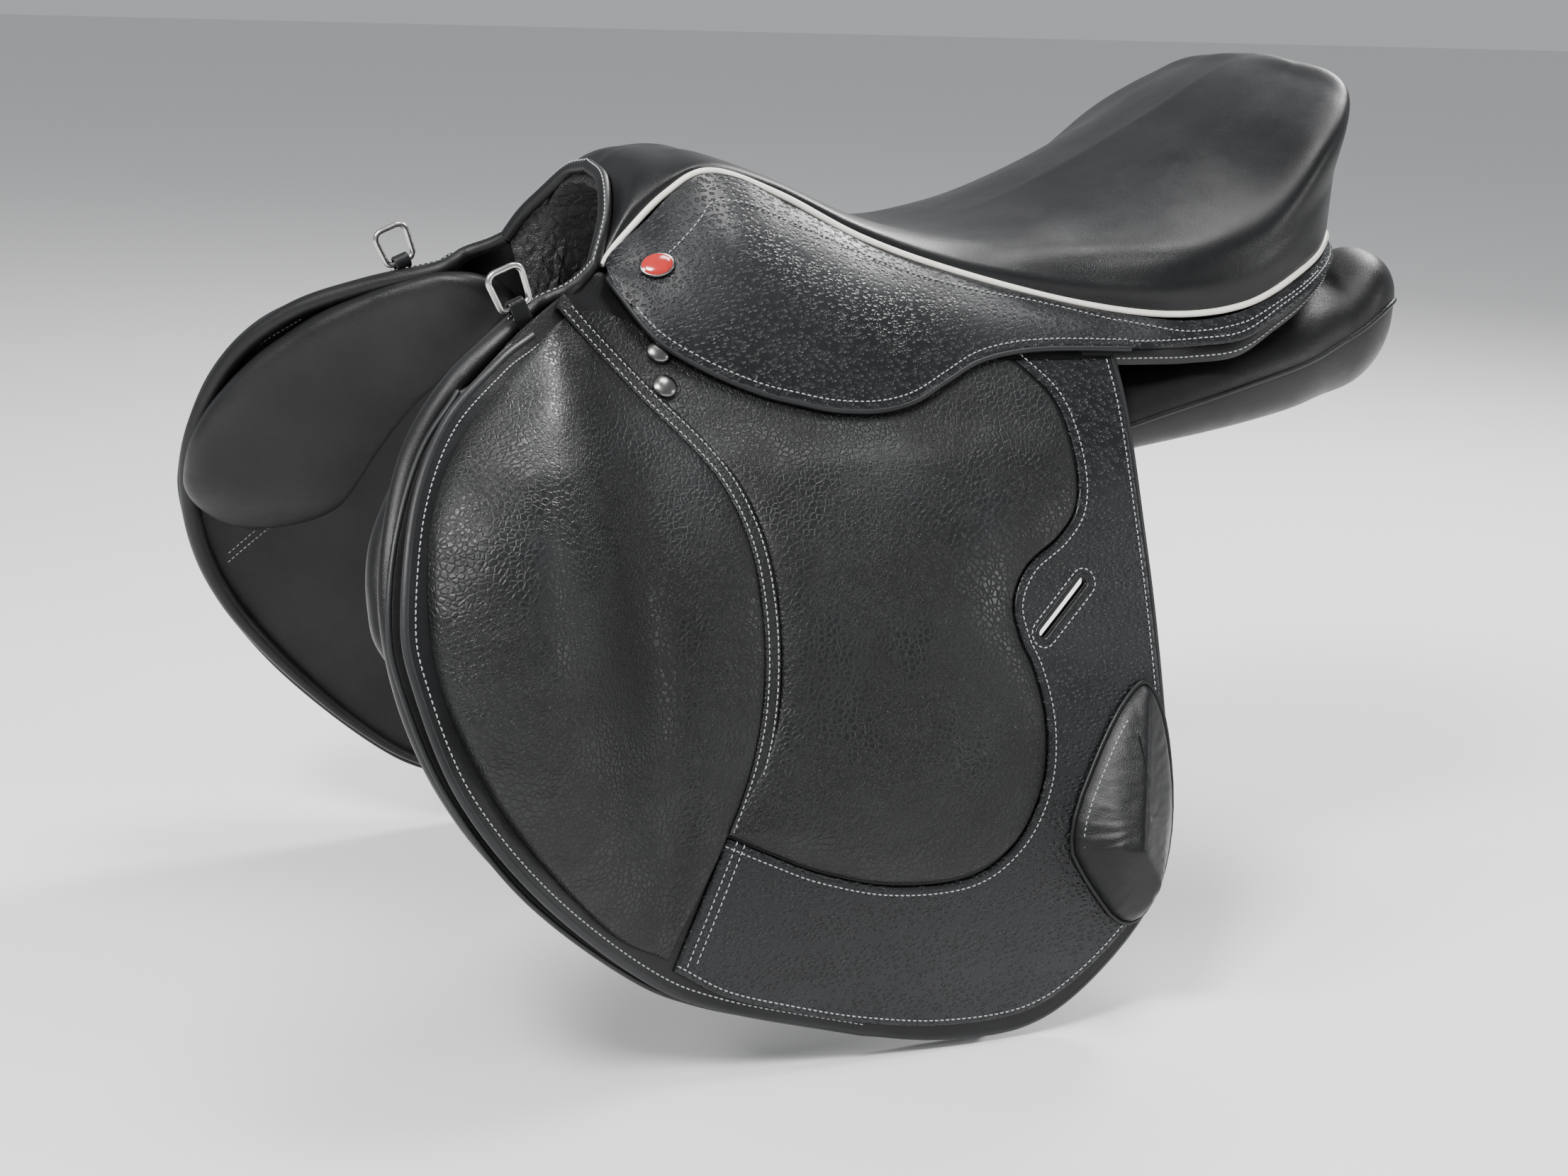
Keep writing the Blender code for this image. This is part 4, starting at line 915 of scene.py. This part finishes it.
def skirt(side, word):
    flap_body = f"{word}_flap_body"
    upper = ("root", flap_body), fold(side, low=0.0, high=10.0)
    lower = (flap_body, f"{word}_skirt_body"), fold(side, low=12.0, high=0.0)

    def edge(name, ts, bend):
        line, n = skirt_run(side, ts, np.ones_like(ts))
        item = tube(name, line - n * SKIRT_HALF, 1.62, "edge", n, sides=10)
        bent(item, *bend, "printed_leather")

    def row(ts, depth, from_top=True):
        return skirt_run(side, ts, depth_share(ts, depth, from_top), 0.1)

    ts = np.linspace(0.006, LOBE_END, 170)
    share = fold_share(ts)
    faces = skirt_surface(side, ts, depth_share(ts, WELT_GAP), share, 30)
    bent(shell(f"{word}_skirt_upper", *faces, "print"), *upper,
         "printed_leather", f"{word}_skirt_top")
    moving = ts >= 0.060
    lobe_t, lobe_v = ts[moving], share[moving]
    faces = skirt_surface(side, lobe_t, lobe_v, np.ones_like(lobe_t), 34)
    bent(shell(f"{word}_skirt_lobe", *faces, "print"), *lower,
         "printed_leather", f"{word}_skirt")
    tail = np.r_[LOBE_END, np.linspace(LOBE_END + 0.004, 1.0, 110)]
    faces = skirt_surface(side, tail, depth_share(tail, WELT_GAP), np.ones_like(tail), 12)
    for grid in faces:
        grid[-1, :, 1] = side * CENTRE_GAP
    placed(shell(f"{word}_skirt_tail", *faces, "print"), "root", "printed_leather")

    lobe_edge = lobe_t[lobe_v < 0.985]
    edge(f"{word}_skirt_edge", lobe_edge, lower)
    edge(f"{word}_skirt_front_edge", ts[ts <= lobe_edge[0]], upper)

    hem = np.linspace(lobe_edge[0] + 0.004, LOBE_END, 160)
    bent(stitches(f"{word}_skirt_hem_stitching", [row(hem, 5.0, False)]), *lower, "cream_piping")
    start = 0.21
    inner = np.linspace(start, LOBE_END, 140)
    depth = mix(22.0, 15.0, smooth_step((inner - start) / 0.12))
    depth = mix(depth, 11.0, smooth_step((inner - 0.40) / 0.15))
    corner = depth_share(np.array([start]), 22.0)[0]
    drop = along([(0.100, 0.40), (0.150, corner + 0.08), (0.172, corner + 0.01),
                  (start, corner)], np.linspace(0, 1, 50))
    runs = [row(inner, depth), skirt_run(side, drop[:, 0], drop[:, 1], 0.1)]
    bent(stitches(f"{word}_skirt_inner_stitching", runs), *upper, "cream_piping")
    back = np.linspace(LOBE_END, 0.985, 160)
    part = back[back < 0.80]
    sewn(f"{word}_skirt_tail_stitching",
         [row(back, 4.0, False),
          skirt_run(side, part, np.minimum(depth_share(part, 10.0), 0.55), 0.1)])


def badge(side, word):
    """Plain oval badge: a metal rim with domed enamel."""
    at, n = (found[0] for found in skirt_run(side, [0.092], [0.46], 0.9))
    rim = [(0.0, -1.0), (7.0, -1.0), (7.4, 0.5), (7.3, 1.3), (6.9, 1.7), (6.5, 1.5), (0.0, 1.4)]
    dome = [(0.0, 1.0), (6.3, 1.0), (6.4, 1.5), (5.6, 2.05), (4.2, 2.4), (2.2, 2.65), (0.0, 2.7)]
    placed(turned(f"{word}_badge_rim", rim, at, n, "gunmetal", 1.3, 48),
           "root", "satin_nickel", f"{word}_badge")
    placed(turned(f"{word}_badge_enamel", dome, at, n, "badge", 1.3, 48), "root", "badge_enamel")


# ---------------------------------------------------------------- panels

def superellipse(count, power):
    turn = circle(count)
    return tuple(np.sign(f) * np.abs(f) ** power for f in (np.cos(turn), np.sin(turn)))


def panel(side, word):
    rows, cols = 110, 60
    even = np.linspace(0, 1, rows)
    t = mix(even, (1 - np.cos(np.pi * even)) / 2, 0.85)
    centres = spline([(x, (g[0] + e[0]) / 2, (g[1] + e[1]) / 2) for x, g, e, _ in PANEL], t)
    halves = spline([((e[0] - g[0]) / 2, (e[1] - g[1]) / 2, b) for _, g, e, b in PANEL], t)
    a, b = superellipse(cols, 0.80)
    out = unit(np.column_stack([-halves[:, 1], halves[:, 0]])) * halves[:, 2:]
    rings = np.repeat(centres[:, None], cols, axis=1)
    rings[..., 1:] += a[:, None] * halves[:, None, :2] + b[:, None] * out[:, None]
    middle = rings.mean(axis=1, keepdims=True)
    shrink = 1 - 0.97 * (1 - rolled(np.arange(rows), 7.0))
    past = np.clip((centres[:, 0] - 262) / 40.3, 0, 1)
    shrink *= np.sqrt(np.clip(1 - past ** 2, 0.0004, 1))
    rings = middle + (rings - middle) * shrink[:, None, None]
    n = ring_normals(rings, middle)
    rear = smooth_step((rings[..., 0] - 90) / 150)
    soft = (ripple(rings, 48.0, side * 2.0)
            + ripple(rings * (0.35, 1.0, 1.0), 16.0, 2.2) * 0.35 * rear)
    rings = rings + n * (soft - 0.8)[..., None]
    rings[..., 1] *= side
    n[..., 1] *= side
    padded(lofted(f"{word}_panel_cushion", rings, "roll"), 0.85,
           "root", "calf_leather", f"{word}_panel")
    tip = rings[-1].mean(axis=0)
    for number, k in enumerate((int(cols * 0.035), int(cols * 0.46))):
        up = np.vstack([n[6:-1, k], (1, 0, 0)])
        line = np.vstack([rings[6:-1, k], tip]) + up * 0.1
        seam = tube(f"{word}_panel_piping_{number + 1}", line, 1.5, "calf", up, sides=8)
        placed(seam, "root", "calf_leather")


def front_roll(side, word):
    """Padded roll along the panel's front edge, under the sweat flap."""
    rows, cols = 90, 44
    share = np.linspace(0, 1, rows)
    front, rear = along(ROLL_FRONT, share)[:, None], along(ROLL_REAR, share)[:, None]
    depth = spline([(t,) for t in ROLL_THICK], share)
    c, s = superellipse(cols, 0.85)
    xz = front + (rear - front) * (0.5 - 0.5 * c)[:, None]
    rings = on_side(1, xz, -13.5 - depth * (0.5 + 0.5 * s))
    middle = rings.mean(axis=1, keepdims=True)
    reach = np.arange(rows) * 2.4
    shrink = np.minimum(0.10 + 0.90 * rolled(reach, 16.0), 0.06 + 0.94 * rolled(reach[::-1], 30.0))
    rings = middle + (rings - middle) * shrink[:, None, None]
    soft = ripple(rings, 42.0, side * 3.0) * 1.1 + ripple(rings * (1.0, 1.0, 0.4), 11.0) * 0.22
    rings = rings + ring_normals(rings, middle) * (soft - 0.7)[..., None]
    rings[..., 1] *= side
    padded(lofted(f"{word}_front_roll_cushion", rings, "roll"), 0.85,
           "root", "calf_leather", f"{word}_front_roll")


def cantle_band(side, word):
    """Stitched band under the skirt's tail."""
    t = np.linspace(0.545, 0.998, 130)
    _, low = skirt_station(t)
    tangent = np.gradient(low, axis=0)
    out = unit(np.column_stack([-tangent[:, 1], tangent[:, 0], np.zeros(len(t))]))
    out *= np.sign(out[:, 1:2] + 1e-9)
    out[t > 0.985] = (1.0, 0.0, 0.0)
    top = low - out * 4.8 + (0.0, 0.0, -1.8)
    f = np.linspace(0, 1, 10)[None, :, None]
    grid = top[:, None] + (out * -1.0 + (0.0, 0.0, -9.0))[:, None] * f
    swell = np.sin(np.pi * f) * 1.3 * out[:, None]
    flip = (1, side, 1)
    outer, inner = (grid + swell) * flip, (grid - out[:, None] * 2.5) * flip
    outer[-1, :, 1] = inner[-1, :, 1] = side * CENTRE_GAP
    item = shell(f"{word}_cantle_band_leather", outer, inner, "calf")
    placed(item, "root", "calf_leather", f"{word}_cantle_band")
    sewn(f"{word}_cantle_band_stitching", [(outer[:, 5] + out * flip * 0.1, out * flip)])


# ---------------------------------------------------------------- flaps and their pads

def slot_ring(grow):
    """Outline of the keeper slot, larger by grow all round."""
    a, b = np.array(SLOT_ENDS)
    lead = unit(b - a)
    across = np.array([-lead[1], lead[0]])
    radius = SLOT_WIDTH / 2 + grow
    return np.array([centre + sign * radius * (lead * math.cos(turn) + across * math.sin(turn))
                     for centre, sign in ((b, 1), (a, -1))
                     for turn in np.radians(np.linspace(90, -90, 11))])


def flap(side, word):
    bend = ("root", f"{word}_flap_body"), fold(side)
    xz = coons(FLAP_TOP, BOTTOM_EDGE, FRONT_EDGE, REAR_EDGE, shares(70, 330), shares(76, 360))
    half = FLAP_HALF * rolled(rim_distance(xz), 2.4)
    item = side_shell(f"{word}_flap_leather", side, xz, FLAP_HALF + half, FLAP_HALF - half, "calf")
    cut(item, slot_ring(0.0))
    bent(item, *bend, "calf_leather", f"{word}_flap", f"{word}_flap_head")

    outline = np.vstack([curve(FRONT_EDGE, 160), curve(BOTTOM_EDGE, 90)[1:],
                         curve(REAR_EDGE[::-1], 70)[1:]])
    line, up = side_run(side, inward(resample(outline, 3.0), 1.6), FLAP_HALF)
    bent(tube(f"{word}_flap_edge", line, 2.4, "edge", up, 0.92), *bend, "calf_leather")

    front = resample(curve([(-217, 52)] + FRONT_EDGE, 300), 3.0)
    sewn(f"{word}_flap_edge_stitching", [side_run(side, inward(front, 6.0)[3:], 4.15)],
         f"{word}_flap_body")


def overlay(side, word):
    body = f"{word}_flap_body"
    xz = ruled(BAND_EDGE, BAND_OUTER, shares(16, 60), shares(110, 620))
    lift = 4.4 + 1.6 * rolled(rim_distance(xz), 1.6)
    item = side_shell(f"{word}_flap_band", side, xz, lift, PAD_BASE, "print")
    cut(item, slot_ring(0.0))
    placed(item, body, "printed_leather", f"{word}_flap_overlay")
    end = resample(np.array([BAND_EDGE[-1], BAND_OUTER[-1]], float), 2.0)
    ring = slot_ring(4.6)
    rows = [inward(resample(curve(BAND_EDGE, 400), 2.0), 4.6),
            inward(resample(curve(BAND_OUTER, 400), 2.0), -3.6),
            end + (7.0, 1.0), end + (12.5, 2.0), np.vstack([ring, ring[:1]])]
    sewn(f"{word}_flap_band_stitching", [side_run(side, row, 6.1) for row in rows], body)
    line, up = side_run(side, slot_ring(1.4), 5.6)
    border = tube(f"{word}_slot_border", line, 1.3, "calf", up, 0.7, 10, closed=True)
    placed(border, body, "printed_leather")


def knee_pad(side, word):
    body = f"{word}_flap_body"
    us, vs = shares(70, 150), shares(96, 330)
    xz = ruled(KNEE_FRONT, KNEE_SEAM, us, vs)
    gap, ends = rim_distance(xz, "lr"), rim_distance(xz, "tb")
    u, v = us[None], vs[:, None]
    wide = np.linalg.norm(xz[:, -1] - xz[:, 0], axis=1)[:, None]
    lobe = hump(u, 0.29 + 0.05 * np.sin(3 * v), 0.27)
    tall = 32.0 * smooth_step(v / 0.17) * mix(1.0, 0.30, smooth_step((v - 0.28) / 0.62))
    tall = tall * smooth_step((1 - v) / 0.10) * np.minimum(wide / 150.0, 1.0)
    height = 6.0 + tall * lobe * rolled(gap, 26.0)
    height += 3.5 * rolled(gap, 12.0) * smooth_step(ends / 20.0)
    height -= 5.5 * hump(u, 0.64, 0.16) * hump(v, 0.36, 0.20)
    height += 4.0 * hump(u, 0.80, 0.14) * hump(v, 0.62, 0.26)
    base = on_side(side, xz, height)
    arc = lengths(along(KNEE_FRONT, vs))[:, None]
    ruffle = np.sin(arc / 4.3 + 1.3 * np.sin(arc / 17.0)) * 0.75 * np.exp(-gap / 11.0) * (u < 0.5)
    soft = ripple(base, 34.0, 5.0) * 0.8 + ripple(base * (0.5, 1.0, 1.6), 10.0, 2.0) * 0.28
    height = height + (soft + ruffle) * rolled(gap, 9.0)
    height = mix(4.4, height, rolled(gap, 3.0))
    item = side_shell(f"{word}_knee_pad_leather", side, xz, height, PAD_BASE, "grained")
    padded(item, 0.9, body, "grained_leather", f"{word}_knee_pad")

    seam = resample(curve([(-226, 49.5)] + KNEE_SEAM, 300), 2.5)
    seam = seam[seam[:, 1] > -203]
    across = left_of(seam)
    us = shares(5, 10)
    strip = seam[:, None] + across[:, None] * mix(-1.0, 8.4, us)[None, :, None]
    lift = 5.6 + 2.2 * rolled(np.minimum(us, 1 - us) * 9.4, 1.6)[None]
    item = side_shell(f"{word}_knee_seam_strip", side, strip, lift, PAD_BASE, "grained")
    placed(item, body, "grained_leather")
    rows = [seam + across * shift for shift in (1.1, 6.2)]
    sewn(f"{word}_knee_stitching", [side_run(side, row[row[:, 1] < 50], 7.95) for row in rows],
         body)


def grip_pad(side, word):
    us, vs = shares(76, 180), shares(84, 260)
    band = [(x - 1.5, z + (1.5 if z < -225 or x < -30 else 0)) for x, z in BAND_EDGE]
    corner = (-215, 46)
    left = [corner] + [(x + 8, z) for x, z in KNEE_SEAM[1:-2]] + [band[-1]]
    top = [corner, (-197, 45), (-178, 37), (-156, 27), (-60, 25), band[0]]
    xz = ruled(left, band, us, vs)
    xz += (along(top, us) - xz[0])[None] * ((1 - vs) ** 3)[:, None, None]
    gap = rim_distance(xz, "lr")
    low = smooth_step((-4 - xz[..., 1]) / 26)
    u, v = us[None], vs[:, None]
    swell = 5.0 * hump(u, 0.62, 0.28) * hump(v, 0.30, 0.24)
    swell += 3.0 * hump(u, 0.5, 0.30) * hump(v, 0.72, 0.22)
    height = mix(5.9, 6.0 + (5.0 + swell) * rolled(gap, 26.0), low)
    base = on_side(side, xz, height)
    soft = ripple(base, 40.0, 8.0) * 0.7 + ripple(base * (0.5, 1.0, 1.6), 11.0, 6.0) * 0.22
    height = mix(4.4, height + soft * rolled(gap, 10.0) * low, rolled(gap, 2.5))
    item = side_shell(f"{word}_grip_pad_leather", side, xz, height, PAD_BASE, "grained")
    padded(item, 0.6, f"{word}_flap_body", "grained_leather", f"{word}_grip_pad")


def rounded(outline):
    """Closed outline with its corners cut twice."""
    ring = np.array(outline, float)
    for _ in range(2):
        ahead = np.roll(ring, -1, axis=0)
        ring = np.stack([ring * 0.75 + ahead * 0.25, ring * 0.25 + ahead * 0.75], 1).reshape(-1, 2)
    return ring


def block_roof(xz, gap):
    """Height of the calf block: facets falling from its peak, and a bevel along its border."""
    away = xz - BLOCK_PEAK[:2]
    facets = [9.5 + 1.2 * gap]
    for turn, slope in BLOCK_FACETS:
        ahead = math.cos(math.radians(turn)), math.sin(math.radians(turn))
        facets.append(BLOCK_PEAK[2] - slope * (away @ ahead))
    return -1.1 * np.log(np.sum(np.exp(-np.array(facets) / 1.1), axis=0))


def calf_block(side, word):
    body = f"{word}_flap_body"
    ring = rounded(BLOCK_BASE)
    ring = resample(np.vstack([ring, ring[:1]]), 1.6)
    centre = ring[:-1].mean(axis=0)
    share = np.r_[np.linspace(1.0, 0.12, 30), 0.08, 0.05, 0.025, 0.01, 0.0][:, None]
    xz = centre + (ring[None] - centre) * (1 - share)[..., None]
    gap = np.abs(((ring - centre) * left_of(ring)).sum(1))[None] * share
    height = mix(6.2, block_roof(xz, gap), rolled(gap, 2.6))
    grain = ripple(on_side(side, xz, height) * (1.0, 1.0, 2.2), 7.0, 9.0) * 0.22
    height = height + grain * smooth_step(gap / 5.0)
    item = side_shell(f"{word}_calf_block_leather", side, xz, height, 6.15, "calf")
    padded(item, 1.0, body, "calf_leather", f"{word}_calf_block")
    line, up = side_run(side, centre + (ring - centre) * 1.012, 7.2)
    border = tube(f"{word}_calf_block_piping", line[:-1], 1.5, "calf", up[:-1], sides=8,
                  closed=True)
    placed(border, body, "calf_leather")
    row = centre + (ring - centre) * 0.90
    row = resample(row[(ring[:, 0] < 62) & (ring[:, 1] < -150)], 1.5)
    lift = block_roof(row, np.full(len(row), 2.9)) + 0.1
    sewn(f"{word}_calf_block_stitching", [side_run(side, row, lift)], body)


def studs(side, word):
    dome = [(0.0, -3.0), (6.4, -3.0), (6.7, 0.6), (6.2, 1.3), (5.2, 2.0), (3.4, 2.7),
            (1.6, 3.0), (0.0, 3.05)]
    for number, (at, axis) in enumerate(zip(*side_run(side, np.array(STUDS, float), 7.9))):
        placed(turned(f"{word}_stud_{number + 1}", dome, at, axis, "gunmetal"),
               f"{word}_flap_body", "satin_nickel", f"{word}_flap_stud_{number + 1}")


def sweat_flap(side, word):
    """Thin under-flap, with its binding and the seams on its inner face."""
    front = [(-296, 16), (-322, -8), (-340, -42), (-349, -80), (-346, -112), (-327, -163),
             (-287, -218), (-228, -270), (-183, -294), (-103, -317)]
    top = [(-296, 16), (-256, 27), (-216, 29), (-172, 14), (-60, 10), (4, 4)]
    bottom = [(-103, -317), (-52, -321), (-14, -321)]
    rear = [(4, 4), (-2, -50), (-6, -120), (-8, -290), (-14, -321)]
    xz = coons(top, bottom, front, rear, shares(60, 260), shares(64, 330))
    half = 1.25 * rolled(rim_distance(xz), 1.6)
    item = side_shell(f"{word}_sweat_flap_leather", side, xz, SWEAT_MIDDLE + half,
                      SWEAT_MIDDLE - half, "lining")
    placed(item, "root", "lining_leather", f"{word}_sweat_flap")
    edge = resample(np.vstack([curve(front, 150), curve(bottom, 40)[1:]]), 3.0)
    line, up = side_run(side, edge, SWEAT_MIDDLE)
    placed(tube(f"{word}_sweat_flap_edge", line, 1.7, "edge", up, sides=8),
           "root", "lining_leather")
    rows = [inward(edge, 6.0)]
    for shift in (0.0, 6.0):
        rows.append(resample(np.array([(-318, -150 + shift), (-240, -70 + shift)], float), 3.0))
    runs = [(on_side(side, row, -12.1), -side_normals(side, row)) for row in rows]
    sewn(f"{word}_sweat_flap_stitching", runs)


def facing_roll(side, word):
    """Padded roll from the arch's foot down the front edge, behind the sweat flap's own edge."""
    edge = resample(curve([(-232, 47)] + FRONT_EDGE[1:-1], 300), 3.0)
    low = on_side(side, edge, -12.4 - 5.4 * (1 - 0.5 * np.linspace(0, 1, len(edge))))
    foot = np.array([(-195.6, 67, 66.4), (-203, 73, 61.5), (-215, 80.5, 55.5)]) * (1, side, 1)
    line = resample(curve(np.vstack([foot, low[::12], low[-1:]]), 400), 3.0)
    at = np.linspace(0, 1, len(line))
    radius = 3.8 + 1.9 * smooth_step(at / 0.15) - 3.0 * smooth_step((at - 0.60) / 0.40)
    item = tube(f"{word}_facing_roll", line, radius, "roll", side_normals(side, line[:, ::2]),
                sides=18)
    padded(item, 0.9, "root", "calf_leather")
    top = line[:int(0.14 * len(line))]
    up = np.tile((-0.35, 0.45 * side, 0.82), (len(top), 1))
    sewn(f"{word}_facing_roll_stitching", [(top + up * (radius[:len(top), None] + 0.1), up)])


def billets(side, word):
    """Girth straps with rounded edges, tapered ends and buckle holes."""
    for place, x in (("front", -76.0), ("rear", 2.0)):
        body = f"{word}_{place}_billet_body"
        zs = np.r_[np.linspace(STRAP_TOP, -270, 80), np.linspace(-272, STRAP_END, 14)]
        half = 13.5 * np.where(zs > -276, 1.0, mix(1.0, 0.38, smooth_step((-276 - zs) / 14)))
        half -= 1.2 * smooth_step((zs + 30) / 30)
        us = shares(10, 27)
        xz = np.stack([x + (us[None] * 2 - 1) * half[:, None],
                       np.repeat(zs[:, None], len(us), 1)], axis=-1)
        thick = 1.75 * rolled(rim_distance(xz, "lrb"), 1.6)
        item = side_shell(f"{word}_{place}_girth_strap", side, xz, STRAP_MIDDLE + thick,
                          STRAP_MIDDLE - thick, "calf")
        turn = circle(16)
        for number in range(5):
            z = STRAP_END + 24 + 25 * number
            cut(item, np.column_stack([x + 2.4 * np.cos(turn), z + 2.4 * np.sin(turn)]))
        placed(item, body, "calf_leather", f"{word}_{place}_billet")
        rows = [np.column_stack([np.full(60, x + edge), np.linspace(12, -272, 60)])
                for edge in (-10.0, 10.0)]
        sewn(f"{word}_{place}_girth_strap_stitching",
             [side_run(side, row, -3.4) for row in rows], body)


def dee(side, word):
    """Rounded ring in its leather loop at the front edge of the panel."""
    edge = np.array([-0.92, 0.0, -0.39])
    rise = np.array([-0.39, 0.0, 0.92])
    centre = np.array([-248.0, side * 95.3, 50.0])
    ring = []
    # Corners: centre across and up, radius, and where its arc starts
    for across, up, radius, first in ((4.5, 15.5, 5.0, 0), (-4.5, 15.5, 5.0, 90),
                                      (-5.0, 3.5, 3.5, 180), (5.0, 3.5, 3.5, 270)):
        for turn in np.radians(first + 10 * np.arange(10)):
            ring.append(centre + edge * (across + radius * math.cos(turn))
                        + rise * (up + radius * math.sin(turn)))
    ring = resample(np.array(ring + ring[:1]), 1.2)[:-1]
    item = tube(f"{word}_dee", ring, 1.7, "nickel", sides=16, closed=True)
    placed(item, f"{word}_dee_body", "satin_nickel", f"{word}_dee_ring")

    path = [(4.6, -13.5), (4.4, -6.0), (3.4, -0.6), (2.4, 2.6), (0.0, 3.5), (-2.4, 2.6),
            (-3.4, 0.0), (-2.6, -2.6), (0.6, -5.0), (2.7, -8.0), (2.8, -13.5)]
    line = along(path, np.linspace(0, 1, 46))
    us = shares(6, DEE_LOOP)
    thick = 0.8 * rolled(np.minimum(us, 1 - us) * DEE_LOOP, 0.9)
    grids = []
    for sign in (1, -1):
        yz = line[:, None] + left_of(line)[:, None] * sign * thick[None, :, None]
        grids.append(centre + edge * ((us - 0.5) * DEE_LOOP)[None, :, None]
                     + np.array((0.0, side, 0.0)) * yz[..., :1] + rise * yz[..., 1:])
    placed(shell(f"{word}_dee_loop", *grids, "calf"), "root", "calf_leather", f"{word}_dee_tab")


# ---------------------------------------------------------------- carried-over nodes

def dress_nodes():
    """Materials for the CAD nodes that stay."""
    looks = {"tree": "beech", "seat_web": "web", "girth_web": "web", "stirrup_bar": "steel",
             "bar_rivet": "steel", "bar_catch": "steel", "catch_pin": "steel"}
    for name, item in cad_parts.items():
        if item.hide_render:
            continue
        look = next((v for k, v in looks.items() if k in name), "calf")
        item.data.materials.clear()
        item.data.materials.append(LOOK[look])


# ---------------------------------------------------------------- camera, light and floor

TURN, HEIGHT, ROLL = math.radians(26.0), math.radians(13.4), math.radians(2.3)
AIM = Vector((-44.0, 0.0, -133.0))
RANGE = 1600.0
LENS = 62.66

# Name, place, width in metres and power
LIGHTS = (("key", (-1.4, -1.1, 1.8), 0.60, 76), ("rim", (1.5, 1.0, 1.5), 0.60, 64),
          ("top", (0.3, -0.2, 2.4), 0.90, 44), ("fill", (-1.9, -0.5, 1.2), 0.50, 30),
          ("side", (1.9, -1.6, 0.5), 0.50, 14))


def camera():
    """Camera in front of the near side, a little above it and turned towards the pommel."""
    back = Vector((-math.sin(TURN) * math.cos(HEIGHT), -math.cos(TURN) * math.cos(HEIGHT),
                   math.sin(HEIGHT)))
    right = Vector((math.cos(TURN), -math.sin(TURN), 0.0))
    up = back.cross(right)
    across = right * math.cos(ROLL) + up * math.sin(ROLL)
    over = up * math.cos(ROLL) - right * math.sin(ROLL)
    data = bpy.data.cameras.new("camera")
    data.lens = LENS
    data.sensor_width = 36.0
    item = linked("camera", data)
    turn = Matrix((across, over, back)).transposed().to_4x4()
    item.matrix_world = Matrix.Translation((AIM + back * RANGE) * MM) @ turn
    bpy.context.scene.camera = item


def area_light(name, at, size, power):
    """Square light that faces the saddle."""
    data = bpy.data.lights.new(name, "AREA")
    data.size = size
    data.energy = power
    item = linked(name, data)
    item.location = at
    item.rotation_mode = "QUATERNION"
    away = Vector(at) - Vector((0.0, 0.0, -0.05))
    item.rotation_quaternion = away.to_track_quat("Z", "Y")


def studio():
    world = bpy.data.worlds.new("studio")
    world.use_nodes = True
    shade = world.node_tree.nodes["Background"]
    shade.inputs["Color"].default_value = (0.95, 0.97, 1.0, 1.0)
    shade.inputs["Strength"].default_value = 0.45
    bpy.context.scene.world = world
    for light in LIGHTS:
        area_light(*light)
    bm = bmesh.new()
    bmesh.ops.create_grid(bm, x_segments=1, y_segments=1, size=14.0)
    mesh = bpy.data.meshes.new("floor")
    bm.to_mesh(mesh)
    bm.free()
    g = Graph("studio_floor")
    mesh.materials.append(g.finish((0.80, 0.80, 0.80), g.ramp(g.noise(6, 2), 0.3, 0.7, 0.75, 0.85)))
    floor = linked("floor", mesh)
    floor.location = (0.0, 0.0, CAD_BOX[0].z - 0.004)


# ---------------------------------------------------------------- everything

camera()
studio()
seat()
arch_binding()
gullet()
for piece in (head_cover, skirt, badge, panel, front_roll, cantle_band, flap, studs, overlay,
              knee_pad, grip_pad, calf_block, sweat_flap, facing_roll, billets, dee):
    for the_side, the_word in SIDES:
        piece(the_side, the_word)
dress_nodes()
